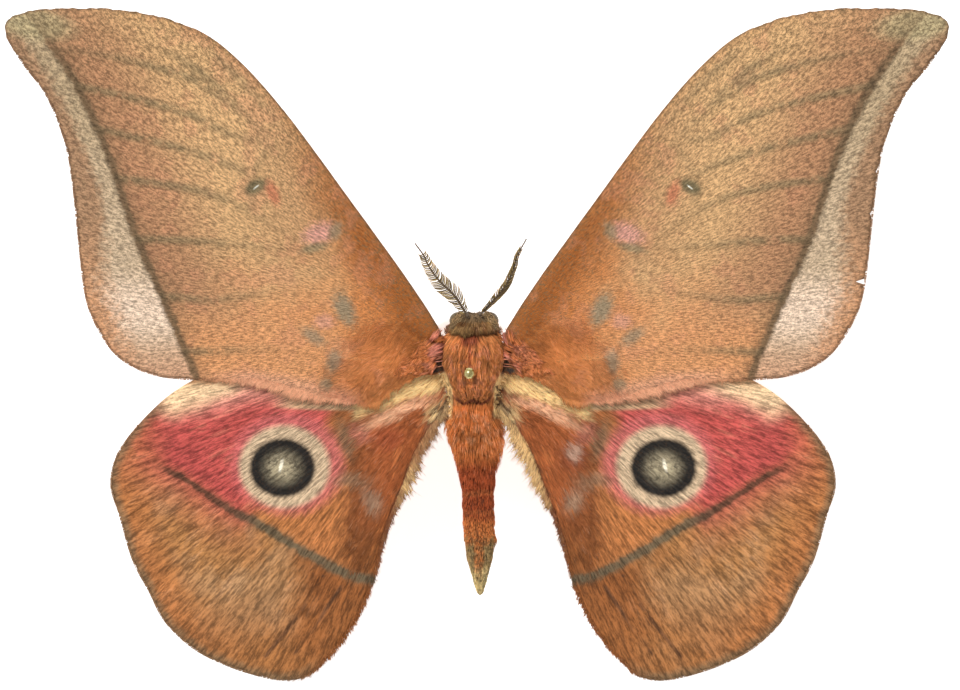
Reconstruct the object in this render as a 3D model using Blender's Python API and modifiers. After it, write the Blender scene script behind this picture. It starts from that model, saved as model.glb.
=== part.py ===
"""A spread emperor moth, Lobobunaea acetes, on an insect pin in a small plain display base.

Life size, in metres, +Z up.  The moth lies level with its back up and its head towards +Y.
The origin is the middle of the underside of the base, and X = 0 is the middle of the body.
Working dimensions are in millimetres and become metres through MM.
"""

import math
import random

import bmesh
import bpy
from mathutils import Matrix, Vector, geometry

MM = 0.001
GAP = 0.3
UP = Vector((0, 0, 1))

# Wings: height of the forewing's middle surface at its root, and how the two pairs are layered.
WING_Z = 28.0
WING_RISE = 0.030
WING_ROOT_SPAN = 5.0
WING_WAVE = 0.28
WING_WAVE_LENGTH = 34.0
LAYER_DROP = 1.45
MEMBRANE = 0.5
RIDGE = 0.2
VEIN_HALF_WIDTH = 0.42
MARGIN_STEP = 3.8
VEIN_STEP = 6.2
FILL_STEP = 9.0
FILL_CLEARANCE = 2.0

# The right forewing of this specimen reaches a little further out at its apex than the left one.
APEX_START = 56.0
APEX_STRETCH_RIGHT = 0.075

# Outlines run from the root along the costa to the apex and back, as (span, forward) pairs.
FOREWING_OUTLINE = (
    (4.78, 5.4), (6.1, 8.3), (10.6, 15.1), (18.9, 26.6), (27.4, 38.2), (33.1, 45.1),
    (37.9, 49.8), (42.0, 52.6), (46.8, 54.4), (52.8, 55.7), (59.0, 56.1), (65.1, 56.0),
    (69.8, 55.3), (71.7, 54.0), (71.7, 51.6), (69.1, 47.4), (65.7, 42.8), (62.9, 35.9),
    (61.6, 28.9), (60.7, 20.5), (59.8, 12.8), (58.4, 8.1), (55.6, 3.5), (52.4, 1.0),
    (48.2, -0.5), (42.0, -1.1), (34.0, -1.3), (28.6, -2.2), (23.6, -3.5), (19.3, -4.1),
    (14.6, -4.1), (12.6, -2.6), (10.4, -1.2), (7.6, -0.4), (4.66, 0.3),
)
HINDWING_OUTLINE = (
    (4.55, -0.9), (9.0, 2.6), (16.0, 4.4), (25.0, 4.6), (34.0, 3.0), (41.0, 0.0),
    (46.8, -3.4), (51.6, -8.0), (54.8, -12.6), (55.8, -17.3), (54.5, -21.9), (52.5, -28.8),
    (50.0, -33.6), (47.5, -38.3), (43.2, -42.4), (38.0, -45.1), (32.8, -46.8), (29.0, -47.4),
    (25.4, -46.6), (22.6, -44.2), (19.4, -40.4), (16.8, -35.7), (15.1, -31.1), (13.9, -26.5),
    (12.4, -22.0), (10.6, -17.6), (8.9, -13.0), (6.8, -9.0), (3.75, -5.0), (4.25, -2.8),
)

# Veins as (span, forward) pairs, each from its inner end outwards.
FOREWING_VEINS = (
    ((6.6, 6.6), (14.6, 17.6), (24.6, 31.6), (33.4, 42.6), (40.2, 49.4)),
    ((5.9, 4.4), (12.0, 12.8), (20.5, 22.8), (28.2, 32.0), (34.3, 38.9), (41.3, 44.2),
     (45.9, 46.2), (55.1, 48.7), (64.4, 50.0), (68.8, 49.8)),
    ((34.3, 38.9), (43.6, 47.6), (54.4, 52.2), (65.1, 53.9)),
    ((31.2, 35.4), (37.4, 36.8), (45.1, 40.4), (60.2, 44.0), (64.6, 44.6)),
    ((33.9, 30.4), (38.6, 32.5), (46.7, 35.0), (57.4, 37.4), (61.8, 38.2)),
    ((34.3, 24.9), (42.0, 28.0), (54.8, 30.0), (60.2, 30.6)),
    ((6.0, 2.8), (15.9, 11.0), (25.1, 18.7), (31.6, 23.2), (34.3, 24.9)),
    ((26.3, 19.6), (31.3, 19.3), (44.4, 20.4), (51.7, 20.4), (59.0, 19.2)),
    ((18.4, 13.0), (24.0, 12.6), (30.0, 12.6), (40.2, 11.2), (47.9, 11.6), (57.6, 10.2)),
    ((6.4, 1.4), (12.0, 1.7), (18.9, 2.2), (30.5, 3.6), (44.4, 3.2), (53.0, 3.1)),
    ((31.2, 35.4), (33.9, 30.4), (34.0, 27.6), (34.3, 24.9)),
)
HINDWING_VEINS = (
    ((6.0, -0.9), (11.0, 1.3), (20.0, 2.4), (32.0, 1.2), (44.0, -3.4)),
    ((16.0, -4.5), (28.0, -5.6), (42.0, -9.4), (53.0, -15.0)),
    ((5.8, -2.2), (16.0, -4.5), (24.0, -7.6), (33.0, -11.4), (43.6, -15.6), (52.2, -21.4)),
    ((24.4, -16.4), (33.6, -19.6), (39.0, -21.9), (50.6, -26.7)),
    ((5.6, -3.6), (15.0, -9.4), (20.6, -13.6), (24.4, -16.4)),
    ((20.6, -13.6), (28.0, -21.5), (36.0, -28.0), (43.6, -32.4), (47.8, -34.2)),
    ((15.0, -9.4), (19.0, -20.0), (23.6, -30.7), (32.4, -44.6)),
    ((5.6, -4.6), (12.2, -14.0), (16.6, -24.0), (20.6, -33.2), (27.4, -44.6)),
)

# Body: stations along Y as (y, middle x, half width, belly z, back z), head to tail.
HEAD_STATIONS = (
    (9.75, 0.15, 0.55, 26.2, 27.7), (9.35, 0.15, 1.5, 25.4, 28.7), (8.6, 0.15, 2.2, 24.9, 29.5),
    (7.8, 0.15, 2.5, 24.7, 29.9), (7.3, 0.15, 2.5, 24.8, 30.0),
)
COLLAR_STATIONS = (
    (7.0, 0.12, 3.1, 24.3, 30.3), (6.5, 0.08, 3.6, 23.7, 31.0), (5.9, 0.04, 3.9, 23.1, 31.4),
    (5.5, 0.0, 4.0, 22.9, 31.5),
)
THORAX_STATIONS = (
    (5.2, 0.0, 4.1, 22.5, 31.5), (4.4, 0.0, 4.35, 21.6, 32.0), (2.8, 0.0, 4.5, 21.0, 32.4),
    (1.0, 0.0, 4.5, 20.8, 32.5), (-1.0, 0.0, 4.3, 20.9, 32.4), (-2.6, 0.0, 4.0, 21.2, 31.9),
    (-3.8, 0.05, 3.7, 21.5, 31.2), (-4.5, 0.08, 3.4, 21.8, 30.5),
)
METATHORAX_STATIONS = (
    (-4.8, 0.1, 3.35, 21.9, 30.3), (-5.8, 0.12, 3.3, 22.0, 30.4), (-7.2, 0.16, 3.4, 22.1, 30.2),
    (-8.5, 0.2, 3.6, 22.2, 29.8),
)
ABDOMEN_STATIONS = (
    (-8.8, 0.2, 3.5, 22.2, 29.5), (-10.6, 0.3, 3.6, 22.2, 29.4), (-12.6, 0.4, 3.3, 22.4, 29.1),
    (-15.0, 0.55, 2.95, 22.7, 28.7), (-17.4, 0.75, 2.65, 22.9, 28.5), (-20.4, 0.8, 2.6, 23.0, 28.3),
    (-23.4, 0.92, 2.6, 23.1, 28.2), (-26.2, 1.0, 2.5, 23.3, 28.1), (-28.6, 1.02, 2.15, 23.7, 27.9),
    (-31.0, 1.06, 1.35, 24.4, 27.3), (-32.6, 1.08, 0.8, 24.9, 26.8), (-33.7, 1.1, 0.3, 25.4, 26.3),
)
# Segment rings of the abdomen: each segment swells to a low step at its rear edge.
SEGMENT_EDGES = (-17.4, -20.4, -23.4, -26.2, -28.6)
SEGMENT_STEP = 0.16
SEGMENT_LIP = 0.35
SECTION_POWER = 2.3
SECTION_SIDES = 18
BODY_STATIONS = (HEAD_STATIONS + COLLAR_STATIONS + THORAX_STATIONS + METATHORAX_STATIONS
                 + ABDOMEN_STATIONS)

# Coat: how far the core lies inside the coat's outer surface, and the shape of one lock along its
# length as shares of its half width, its half thickness and the height it rises to above the core.
CORE_INSET = 0.75
CORE_SIDE_INSET = 0.1
SHORT_FUR_FIRST = -17.0
SHORT_FUR_LAST = -28.7
LOCK_WIDTHS = (0.65, 1.0, 0.8)
LOCK_DEPTHS = (0.9, 1.0, 0.8)
LOCK_LIFTS = (-0.5, 0.32, 0.5, 0.38)
LOCK_DEPTH = 0.28
BODY_GIRTH_RADIUS = 4.3
COAT_SEEDS = {"head": 17, "collar": 13, "thorax": 17, "metathorax": 13, "abdomen": 11}
TEGULA_SEED = 11
FRINGE_SEED = 18

# Rows of locks as (root y, first angle, last angle, count, length, half width, lean), in degrees.
# A positive lean spreads the row outwards towards its tips and a negative one draws it together.
COLLAR_ROWS = (
    (6.75, -60, 60, 6, 2.0, 0.85, 8), (6.05, -66, 66, 7, 1.9, 0.78, 4),
)
THORAX_ROWS = (
    (4.5, -50, 50, 5, 3.4, 1.15, 20), (3.0, -56, 56, 4, 4.0, 1.3, 12), (1.3, -54, 54, 5, 4.0, 1.15, 2),
    (-0.5, -52, 52, 4, 3.6, 1.2, -10), (-2.2, -44, 44, 4, 2.7, 1.0, -20),
)
METATHORAX_ROWS = (
    (-5.8, -60, 60, 5, 3.2, 0.95, 6), (-7.1, -68, 68, 6, 3.4, 0.95, 10),
)
ABDOMEN_ROWS = (
    (-10.4, -96, 96, 6, 4.0, 1.1, 10), (-12.2, -104, 104, 7, 4.0, 1.0, 4),
    (-14.2, -100, 100, 6, 3.8, 1.0, 0), (-29.0, -140, 140, 6, 2.8, 0.62, -2),
    (-30.8, -120, 120, 4, 3.0, 0.46, -4),
)
HEAD_ROWS = (
    (7.75, -40, 40, 4, 1.1, 0.42, 10),
)

EYE_RADIUS = 1.25
EYE_CENTRE = (2.15, 8.3, 27.3)
HEAD_MIDDLE_X = 0.15

# Antennae: shaft routes from the socket to the tip, and the reach of the side branches.
ANTENNA_ROUTES = {
    "left": ((-0.8, 8.7, 29.3), (-2.8, 11.8, 30.3), (-5.3, 14.3, 30.8), (-6.9, 16.6, 30.9),
             (-7.6, 18.1, 30.8), (-8.9, 19.9, 30.5)),
    "right": ((1.0, 8.9, 29.3), (3.2, 11.2, 30.4), (5.1, 13.6, 31.0), (6.3, 16.2, 31.1),
              (6.8, 18.0, 30.9), (8.2, 20.6, 30.4)),
}
ANTENNA_ROLL = {"left": 16, "right": 66}
SCAPE_RADIUS = 0.45
SHAFT_RADII = (0.38, 0.36, 0.34, 0.3, 0.16)
BRANCH_FIRST = 0.07
BRANCH_LAST = 0.84
BRANCH_COUNT = 13
BRANCH_REACH = 1.9
BRANCH_RADIUS = 0.25
BRANCH_SWEEP = 52
BRANCH_CURL = 0.22

# Fringe of long hair along the hindwing's inner margin, and the hair over its root.
FRINGE_FIRST = -7.2
FRINGE_LAST = -29.0
FRINGE_COUNT = 12
FRINGE_LENGTH = 4.4
FRINGE_HALF_WIDTH = 0.85
FRINGE_ROOT_IN = 1.0
FRINGE_FLARE = 0.62
FRINGE_DEPTH = 0.27
INNER_MARGIN_START = 18
INNER_MARGIN_END = 29
ROOT_LOCK_LIFTS = (-0.22, 0.05, 0.12, 0.0)
ROOT_LOCKS = (
    (5.2, -3.4, -24, 5.4, 0.9), (5.0, -4.8, -48, 5.6, 0.9), (8.4, -4.4, -24, 5.8, 0.95),
    (7.6, -6.8, -50, 5.8, 0.95), (11.4, -7.0, -38, 5.8, 0.95),
)

# Tegulae: the furred shoulder scales over the forewing roots.
TEGULA_CENTRE = (5.75, 2.6, 29.35)
TEGULA_RADII = (1.0, 2.5, 0.5)
TEGULA_HALF_WIDTH = 0.8
TEGULA_LOCK_LIFTS = (0.1, 0.32, 0.22, -0.15)
TEGULA_LOCKS = (
    (-0.1, 2.0, 52, 2.8), (0.1, 1.3, 30, 3.2), (-0.1, 0.6, 10, 3.4), (0.1, -0.1, -8, 3.5),
    (-0.1, -0.8, -24, 3.5), (-0.2, -1.4, -40, 3.4), (-0.2, -2.0, -60, 3.0),
)

# Legs: (root x, root y) on the belly, then knee, ankle and foot positions, for the right side.
LEGS = {
    "fore": ((1.7, 3.6), ((3.9, 6.6, 21.4), (1.9, 8.2, 19.0), (1.3, 5.0, 17.6))),
    "mid": ((2.3, 0.6), ((5.4, 1.6, 18.4), (3.7, -1.6, 16.2), (3.2, -5.2, 15.6))),
    "hind": ((2.2, -2.8), ((5.0, -4.6, 19.4), (3.6, -9.0, 18.4), (2.8, -13.4, 18.0))),
}
LEG_RADII = (0.55, 0.65, 0.5, 0.45, 0.4, 0.32, 0.26)
LEG_ROOT_DROP = 0.45

# Pin and base.
PIN_X = -0.57
PIN_RADIUS = 0.3
PIN_HEAD_RADIUS = 0.87
PIN_TIP_Z = 3.0
PIN_LENGTH = 38.0
PIN_POINT_LENGTH = 2.0
PIN_SIDES = 14
PIN_HEAD_TURNS = 7
BASE_RADIUS = 9.5
BASE_HEIGHT = 6.0
BASE_BEVEL = 0.4


def clear_scene():
    for obj in list(bpy.data.objects):
        bpy.data.objects.remove(obj, do_unlink=True)


def new_collection(name):
    collection = bpy.data.collections.new(name)
    bpy.context.scene.collection.children.link(collection)
    return collection


def new_material(name, colour, roughness, metallic=0.0):
    material = bpy.data.materials.new(name)
    material.use_nodes = True
    shader = material.node_tree.nodes["Principled BSDF"]
    shader.inputs["Base Color"].default_value = (*colour, 1.0)
    shader.inputs["Roughness"].default_value = roughness
    shader.inputs["Metallic"].default_value = metallic
    return material


def object_from_bmesh(name, bm, collection, material=None):
    mesh = bpy.data.meshes.new(name)
    bm.normal_update()
    bm.to_mesh(mesh)
    bm.free()
    obj = bpy.data.objects.new(name, mesh)
    collection.objects.link(obj)
    if material:
        mesh.materials.append(material)
    return obj


def apply_modifiers(obj):
    """Replace an object's mesh with its evaluated one and drop its modifiers."""
    depsgraph = bpy.context.evaluated_depsgraph_get()
    mesh = bpy.data.meshes.new_from_object(obj.evaluated_get(depsgraph))
    obj.modifiers.clear()
    obj.data = mesh


def cut(obj, cutter):
    """Subtract the cutter from the object and apply the cut."""
    modifier = obj.modifiers.new("cut", "BOOLEAN")
    modifier.operation = "DIFFERENCE"
    modifier.solver = "EXACT"
    modifier.object = cutter
    apply_modifiers(obj)
    bpy.data.objects.remove(cutter, do_unlink=True)


def catmull_rom(points, step, closed=False):
    """A smooth line through the points, sampled about every step."""
    points = [Vector(p) for p in points]
    count = len(points)
    spans = count if closed else count - 1
    line = []
    for i in range(spans):
        p1 = points[i]
        p2 = points[(i + 1) % count]
        p0 = points[i - 1] if i > 0 or closed else p1 * 2 - p2
        p3 = points[(i + 2) % count] if i + 2 < count or closed else p2 * 2 - p1
        pieces = max(1, round((p2 - p1).length / step))
        for k in range(pieces):
            t = k / pieces
            line.append(
                0.5 * (2 * p1 + (p2 - p0) * t + (2 * p0 - 5 * p1 + 4 * p2 - p3) * t ** 2
                       + (3 * p1 - p0 - 3 * p2 + p3) * t ** 3)
            )
    if not closed:
        line.append(points[-1])
    return line


def wing_height(span, forward, drop):
    """Height of a wing's middle surface, with a slight rise outwards and a soft wave."""
    wave = WING_WAVE * math.sin(2 * math.pi * (forward + 0.4 * span) / WING_WAVE_LENGTH)
    reach = min(1.0, max(0.0, (span - WING_ROOT_SPAN) / 20.0))
    return WING_Z - drop + WING_RISE * (span - WING_ROOT_SPAN) + wave * reach


def nearest_on_line(point, line):
    """Distance from a point to a polyline, in the plane of the wing."""
    best = 1e9
    for a, b in zip(line, line[1:]):
        hit, t = geometry.intersect_point_line(point, a, b)
        t = min(1.0, max(0.0, t))
        best = min(best, (point - a.lerp(b, t)).length)
    return best


def vein_side_lines(line, half_width):
    """The vein's crest with its two feet, the feet meeting the crest at both ends."""
    left = []
    right = []
    for i in range(1, len(line) - 1):
        along = (line[i + 1] - line[i - 1]).normalized()
        across = Vector((-along.y, along.x)) * half_width
        left.append(line[i] + across)
        right.append(line[i] - across)
    return [line, [line[0]] + left + [line[-1]], [line[0]] + right + [line[-1]]]


def fill_points(outline, crests):
    """Points on an even grid inside the outline and clear of it and of the veins."""
    spans = [p.x for p in outline]
    forwards = [p.y for p in outline]
    found = []
    across = min(spans)
    row = 0
    while across < max(spans):
        along = min(forwards) + (FILL_STEP / 2 if row % 2 else 0.0)
        while along < max(forwards):
            point = Vector((across, along))
            inside = False
            for a, b in zip(outline, outline[1:] + outline[:1]):
                if (a.y > along) != (b.y > along):
                    if across < a.x + (b.x - a.x) * (along - a.y) / (b.y - a.y):
                        inside = not inside
            clear = all(nearest_on_line(point, c) > FILL_CLEARANCE for c in crests)
            if inside and clear and nearest_on_line(point, outline + outline[:1]) > FILL_CLEARANCE:
                found.append(point)
            along += FILL_STEP
        across += FILL_STEP
        row += 1
    return found


def stretch_apex(points, stretch):
    """Draw the outer end of the wing out by a share of its reach past APEX_START."""
    moved = []
    for p in points:
        extra = max(0.0, p[0] - APEX_START)
        moved.append((p[0] + extra * stretch, p[1]))
    return moved


def make_wing(name, side, outline, veins, drop, stretch, collection, material):
    """One wing: a membrane with its veins raised as ridges in both faces."""
    sign = -1 if side == "left" else 1
    margin = catmull_rom(stretch_apex(outline, stretch), MARGIN_STEP, closed=True)
    crests = [catmull_rom(stretch_apex(vein, stretch), VEIN_STEP) for vein in veins]
    points = [Vector((p.x, p.y)) for p in margin]
    edges = []
    face = list(range(len(points)))
    for crest in crests:
        for line in vein_side_lines(crest, VEIN_HALF_WIDTH):
            first = len(points)
            points.extend(line)
            edges.extend((first + i, first + i + 1) for i in range(len(line) - 1))
    points.extend(fill_points(margin, crests))
    flat, _, faces, _, _, _ = geometry.delaunay_2d_cdt(points, edges, [face], 1, 0.02)

    bm = bmesh.new()
    for p in flat:
        height = wing_height(p.x, p.y, drop)
        bm.verts.new((sign * p.x * MM, p.y * MM, height * MM))
    bm.verts.ensure_lookup_table()
    for corners in faces:
        corners = corners if sign > 0 else corners[::-1]
        bm.faces.new([bm.verts[i] for i in corners])
    wing = object_from_bmesh(name, bm, collection, material)

    group = wing.vertex_groups.new(name="vein")
    for index, p in enumerate(flat):
        nearest = min(nearest_on_line(p, crest) for crest in crests)
        group.add([index], max(0.0, 1.0 - nearest / VEIN_HALF_WIDTH), "REPLACE")
    solidify = wing.modifiers.new("membrane", "SOLIDIFY")
    solidify.thickness = (MEMBRANE + 2 * RIDGE) * MM
    solidify.offset = 0.0
    solidify.vertex_group = group.name
    solidify.thickness_vertex_group = MEMBRANE / (MEMBRANE + 2 * RIDGE)
    return wing


def section_ring(station, sides):
    """Corner points of one rounded cross-section of the body."""
    y, middle_x, half_width, belly, back = station
    middle_z = (belly + back) / 2
    half_height = (back - belly) / 2
    ring = []
    for k in range(sides):
        angle = 2 * math.pi * k / sides
        power = 2 / SECTION_POWER
        x = math.copysign(abs(math.sin(angle)) ** power, math.sin(angle)) * half_width
        z = math.copysign(abs(math.cos(angle)) ** power, math.cos(angle)) * half_height
        ring.append(Vector((middle_x + x, y, middle_z + z)))
    return ring


def loft(name, rings, collection, material):
    """A closed body through rings of equal count, capped flat at both ends."""
    bm = bmesh.new()
    rows = [[bm.verts.new(p * MM) for p in ring] for ring in rings]
    count = len(rows[0])
    for a, b in zip(rows, rows[1:]):
        for k in range(count):
            bm.faces.new((a[k], a[(k + 1) % count], b[(k + 1) % count], b[k]))
    bm.faces.new(rows[0][::-1])
    bm.faces.new(rows[-1])
    bmesh.ops.recalc_face_normals(bm, faces=bm.faces)
    return object_from_bmesh(name, bm, collection, material)


def body_part(name, stations, collection, material):
    return loft(name, [section_ring(s, SECTION_SIDES) for s in stations], collection, material)


def add_sphere(name, centre, radius, collection, material=None, segments=12, rings=8):
    bm = bmesh.new()
    bmesh.ops.create_uvsphere(bm, u_segments=segments, v_segments=rings, radius=radius * MM)
    bmesh.ops.translate(bm, verts=bm.verts, vec=Vector(centre) * MM)
    return object_from_bmesh(name, bm, collection, material)


def add_rod(name, low, high, x, y, radius, collection, material=None, sides=16):
    """An upright round rod between two heights."""
    bm = bmesh.new()
    bmesh.ops.create_cone(bm, cap_ends=True, segments=sides, radius1=radius * MM,
                          radius2=radius * MM, depth=(high - low) * MM)
    bmesh.ops.translate(bm, verts=bm.verts, vec=Vector((x, y, (low + high) / 2)) * MM)
    return object_from_bmesh(name, bm, collection, material)


def tube(name, points, radii, collection, material, bevel_resolution=1):
    """A bent tube of varying thickness as a mesh, from a curve with filled caps."""
    curve = bpy.data.curves.new(name, "CURVE")
    curve.dimensions = "3D"
    curve.bevel_depth = MM
    curve.bevel_resolution = bevel_resolution
    curve.use_fill_caps = True
    spline = curve.splines.new("POLY")
    spline.points.add(len(points) - 1)
    for slot, p, radius in zip(spline.points, points, radii):
        slot.co = (*(Vector(p) * MM), 1.0)
        slot.radius = radius
    guide = bpy.data.objects.new(name + "_route", curve)
    collection.objects.link(guide)
    depsgraph = bpy.context.evaluated_depsgraph_get()
    mesh = bpy.data.meshes.new_from_object(guide.evaluated_get(depsgraph))
    bm = bmesh.new()
    bm.from_mesh(mesh)
    bmesh.ops.remove_doubles(bm, verts=bm.verts, dist=0.00001)
    bmesh.ops.recalc_face_normals(bm, faces=bm.faces)
    obj = object_from_bmesh(name, bm, collection, material)
    obj.matrix_world = guide.matrix_world
    bpy.data.objects.remove(guide, do_unlink=True)
    return obj


def body_station(y):
    """The body's outer cross-section at a place along its length."""
    for front, rear in zip(BODY_STATIONS, BODY_STATIONS[1:]):
        if rear[0] <= y <= front[0]:
            t = (front[0] - y) / (front[0] - rear[0])
            return tuple(a + (b - a) * t for a, b in zip(front, rear))
    return BODY_STATIONS[0] if y > 0 else BODY_STATIONS[-1]


def core_station(station):
    """The cross-section of the firm core that carries the coat, deeper under the long hair."""
    y, middle_x, half_width, belly, back = station
    short_furred = SHORT_FUR_FIRST > y > SHORT_FUR_LAST
    inset = 0.0 if short_furred else min(CORE_INSET, 0.13 * (back - belly))
    return (y, middle_x, max(half_width - CORE_SIDE_INSET, 0.2), belly, back - inset)


def coat_frame(y, angle):
    """A point on the core's surface and the direction out of it, at an angle from the back."""
    y, middle_x, half_width, belly, back = core_station(body_station(y))
    half_height = (back - belly) / 2
    power = 2 / SECTION_POWER
    s = math.sin(angle)
    c = math.cos(angle)
    x = math.copysign(abs(s) ** power, s)
    z = math.copysign(abs(c) ** power, c)
    point = Vector((middle_x + x * half_width, y, (belly + back) / 2 + z * half_height))
    steep = SECTION_POWER - 1
    outward = Vector((math.copysign(abs(x) ** steep, x) / half_width, 0.0,
                      math.copysign(abs(z) ** steep, z) / half_height))
    return point, outward.normalized()


def lock(name, path, ups, half_width, half_depth, collection):
    """A flat lock of hair that tapers to a point at the end of its path."""
    bm = bmesh.new()
    rows = []
    for i, p in enumerate(path[:-1]):
        along = (path[i + 1] - path[max(0, i - 1)]).normalized()
        across = along.cross(ups[i]).normalized()
        up = across.cross(along)
        wide = half_width * LOCK_WIDTHS[i]
        deep = half_depth * LOCK_DEPTHS[i]
        ring = (p + up * deep, p + across * wide, p - up * deep, p - across * wide)
        rows.append([bm.verts.new(q * MM) for q in ring])
    tip = bm.verts.new(path[-1] * MM)
    for a, b in zip(rows, rows[1:]):
        for k in range(4):
            bm.faces.new((a[k], a[(k + 1) % 4], b[(k + 1) % 4], b[k]))
    for k in range(4):
        bm.faces.new((rows[-1][k], rows[-1][(k + 1) % 4], tip))
    bm.faces.new(rows[0][::-1])
    bmesh.ops.triangulate(bm, faces=bm.faces)
    bmesh.ops.recalc_face_normals(bm, faces=bm.faces)
    return object_from_bmesh(name, bm, collection)


def coat_rows(rows, pieces, seed):
    """Rows of overlapping locks that lie along the body, with a seeded spread."""
    draw = random.Random(seed)
    for root_y, first, last, count, length, half_width, lean in rows:
        for k in range(count):
            share = k / (count - 1)
            angle = math.radians(first + (last - first) * share + draw.uniform(-2.5, 2.5))
            side = 2 * share - 1
            turn = math.radians(lean * side + draw.uniform(-5, 5))
            reach = length * draw.uniform(0.88, 1.08)
            start = root_y + draw.uniform(-0.2, 0.2)
            path = []
            ups = []
            for i, lift in enumerate(LOCK_LIFTS):
                t = i / (len(LOCK_LIFTS) - 1)
                y = start - reach * math.cos(turn) * t
                at = angle + reach * math.sin(turn) * t / BODY_GIRTH_RADIUS
                point, outward = coat_frame(y, at)
                path.append(point + outward * lift)
                ups.append(outward)
            lock("lock", path, ups, half_width * draw.uniform(0.9, 1.1), LOCK_DEPTH, pieces)


def segmented(stations):
    """The stations with a low overlapping step added where each abdomen segment ends."""
    stepped = []
    for station in stations:
        y, middle_x, half_width, belly, back = station
        if y in SEGMENT_EDGES:
            stepped.append((y + SEGMENT_LIP, middle_x, half_width + SEGMENT_STEP, belly - SEGMENT_STEP,
                            back + SEGMENT_STEP))
            stepped.append((y, middle_x, half_width - SEGMENT_STEP, belly + SEGMENT_STEP,
                            back - SEGMENT_STEP))
        else:
            stepped.append(station)
    return stepped


def keep_largest(obj):
    """Keep only the object's largest closed surface."""
    bm = bmesh.new()
    bm.from_mesh(obj.data)
    bmesh.ops.triangulate(bm, faces=bm.faces)
    bm.faces.ensure_lookup_table()
    seen = set()
    best = []
    best_volume = 0.0
    for face in bm.faces:
        if face in seen:
            continue
        island = [face]
        seen.add(face)
        for member in island:
            for edge in member.edges:
                for other in edge.link_faces:
                    if other not in seen:
                        seen.add(other)
                        island.append(other)
        volume = 0.0
        for member in island:
            a, b, c = (v.co for v in member.verts)
            volume += a.dot(b.cross(c)) / 6
        if volume > best_volume:
            best = island
            best_volume = volume
    kept = set(best)
    bmesh.ops.delete(bm, geom=[f for f in bm.faces if f not in kept], context="FACES")
    bm.to_mesh(obj.data)
    bm.free()


def fuse(obj, pieces):
    """Join every piece in the collection to the object in one union and remove the pieces."""
    apply_modifiers(obj)
    modifier = obj.modifiers.new("fuse", "BOOLEAN")
    modifier.operation = "UNION"
    modifier.operand_type = "COLLECTION"
    modifier.solver = "MANIFOLD"
    modifier.collection = pieces
    apply_modifiers(obj)
    for piece in list(pieces.objects):
        bpy.data.objects.remove(piece, do_unlink=True)
    bpy.data.collections.remove(pieces)
    keep_largest(obj)


def make_furred_part(name, stations, rows, collection, material):
    """A stretch of the body: its core with its rows of locks fused on."""
    part = body_part(name, [core_station(s) for s in segmented(stations)], collection, material)
    pieces = new_collection(name + "_locks")
    coat_rows(rows, pieces, COAT_SEEDS[name])
    fuse(part, pieces)
    return part


def antenna_root(side):
    return Vector(ANTENNA_ROUTES[side][0])


def eye_centre(sign):
    return (HEAD_MIDDLE_X + sign * EYE_CENTRE[0], EYE_CENTRE[1], EYE_CENTRE[2])


def make_head(parts, cutters, material):
    head = make_furred_part("head", HEAD_STATIONS, HEAD_ROWS, parts, material)
    for side, sign in (("left", -1), ("right", 1)):
        cut(head, add_sphere("eye_socket", eye_centre(sign), EYE_RADIUS + GAP, cutters))
        cut(head, add_sphere("antenna_socket", antenna_root(side), SCAPE_RADIUS + GAP, cutters,
                             segments=10, rings=8))
    keep_largest(head)
    return head


def make_eyes(parts, material):
    for side, sign in (("left", -1), ("right", 1)):
        add_sphere("eye_" + side, eye_centre(sign), EYE_RADIUS, parts, material)


def make_palps(parts, material):
    """The two short palps under the front of the face."""
    for side, sign in (("left", -1), ("right", 1)):
        x = HEAD_MIDDLE_X + sign * 0.75
        points = ((x, 9.35, 24.85), (x + sign * 0.1, 9.95, 24.95), (x + sign * 0.1, 10.3, 25.5),
                  (x, 10.35, 26.1))
        tube("palp_" + side, points, (0.38, 0.42, 0.38, 0.2), parts, material)


def make_antennae(parts, material):
    """Each antenna: a bead at its socket, a thin shaft and two rows of side branches."""
    for side, route in ANTENNA_ROUTES.items():
        line = catmull_rom(route, 0.9)
        last = len(line) - 1
        radii = []
        for i in range(len(line)):
            place = i / last * (len(SHAFT_RADII) - 1)
            low = min(int(place), len(SHAFT_RADII) - 2)
            radii.append(SHAFT_RADII[low] + (SHAFT_RADII[low + 1] - SHAFT_RADII[low]) * (place - low))
        antenna = tube("antenna_" + side, line, radii, parts, material)
        pieces = new_collection("antenna_pieces")
        add_sphere("scape", route[0], SCAPE_RADIUS, pieces, segments=10, rings=6)
        for k in range(BRANCH_COUNT):
            share = k / (BRANCH_COUNT - 1)
            t = BRANCH_FIRST + (BRANCH_LAST - BRANCH_FIRST) * share
            place = t * last
            low = min(int(place), last - 1)
            root = line[low].lerp(line[low + 1], place - low)
            along = (line[low + 1] - line[low]).normalized()
            reach = BRANCH_REACH * min(1.0, 0.55 + 2.2 * share, 1.45 - 0.95 * share)
            for sign in (-1, 1):
                across = along.cross(UP).normalized()
                roll = Matrix.Rotation(math.radians(ANTENNA_ROLL[side]), 3, along)
                across = roll @ across * sign
                sweep = math.radians(BRANCH_SWEEP)
                out = across * math.sin(sweep) + along * math.cos(sweep)
                curl = (out + (along - UP) * BRANCH_CURL).normalized()
                mid = root + out * reach * 0.55
                tip = mid + curl * reach * 0.45
                radii = (BRANCH_RADIUS * 0.9, BRANCH_RADIUS)
                spine("branch", (root, mid, tip), radii, along, pieces)
        fuse(antenna, pieces)


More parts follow.
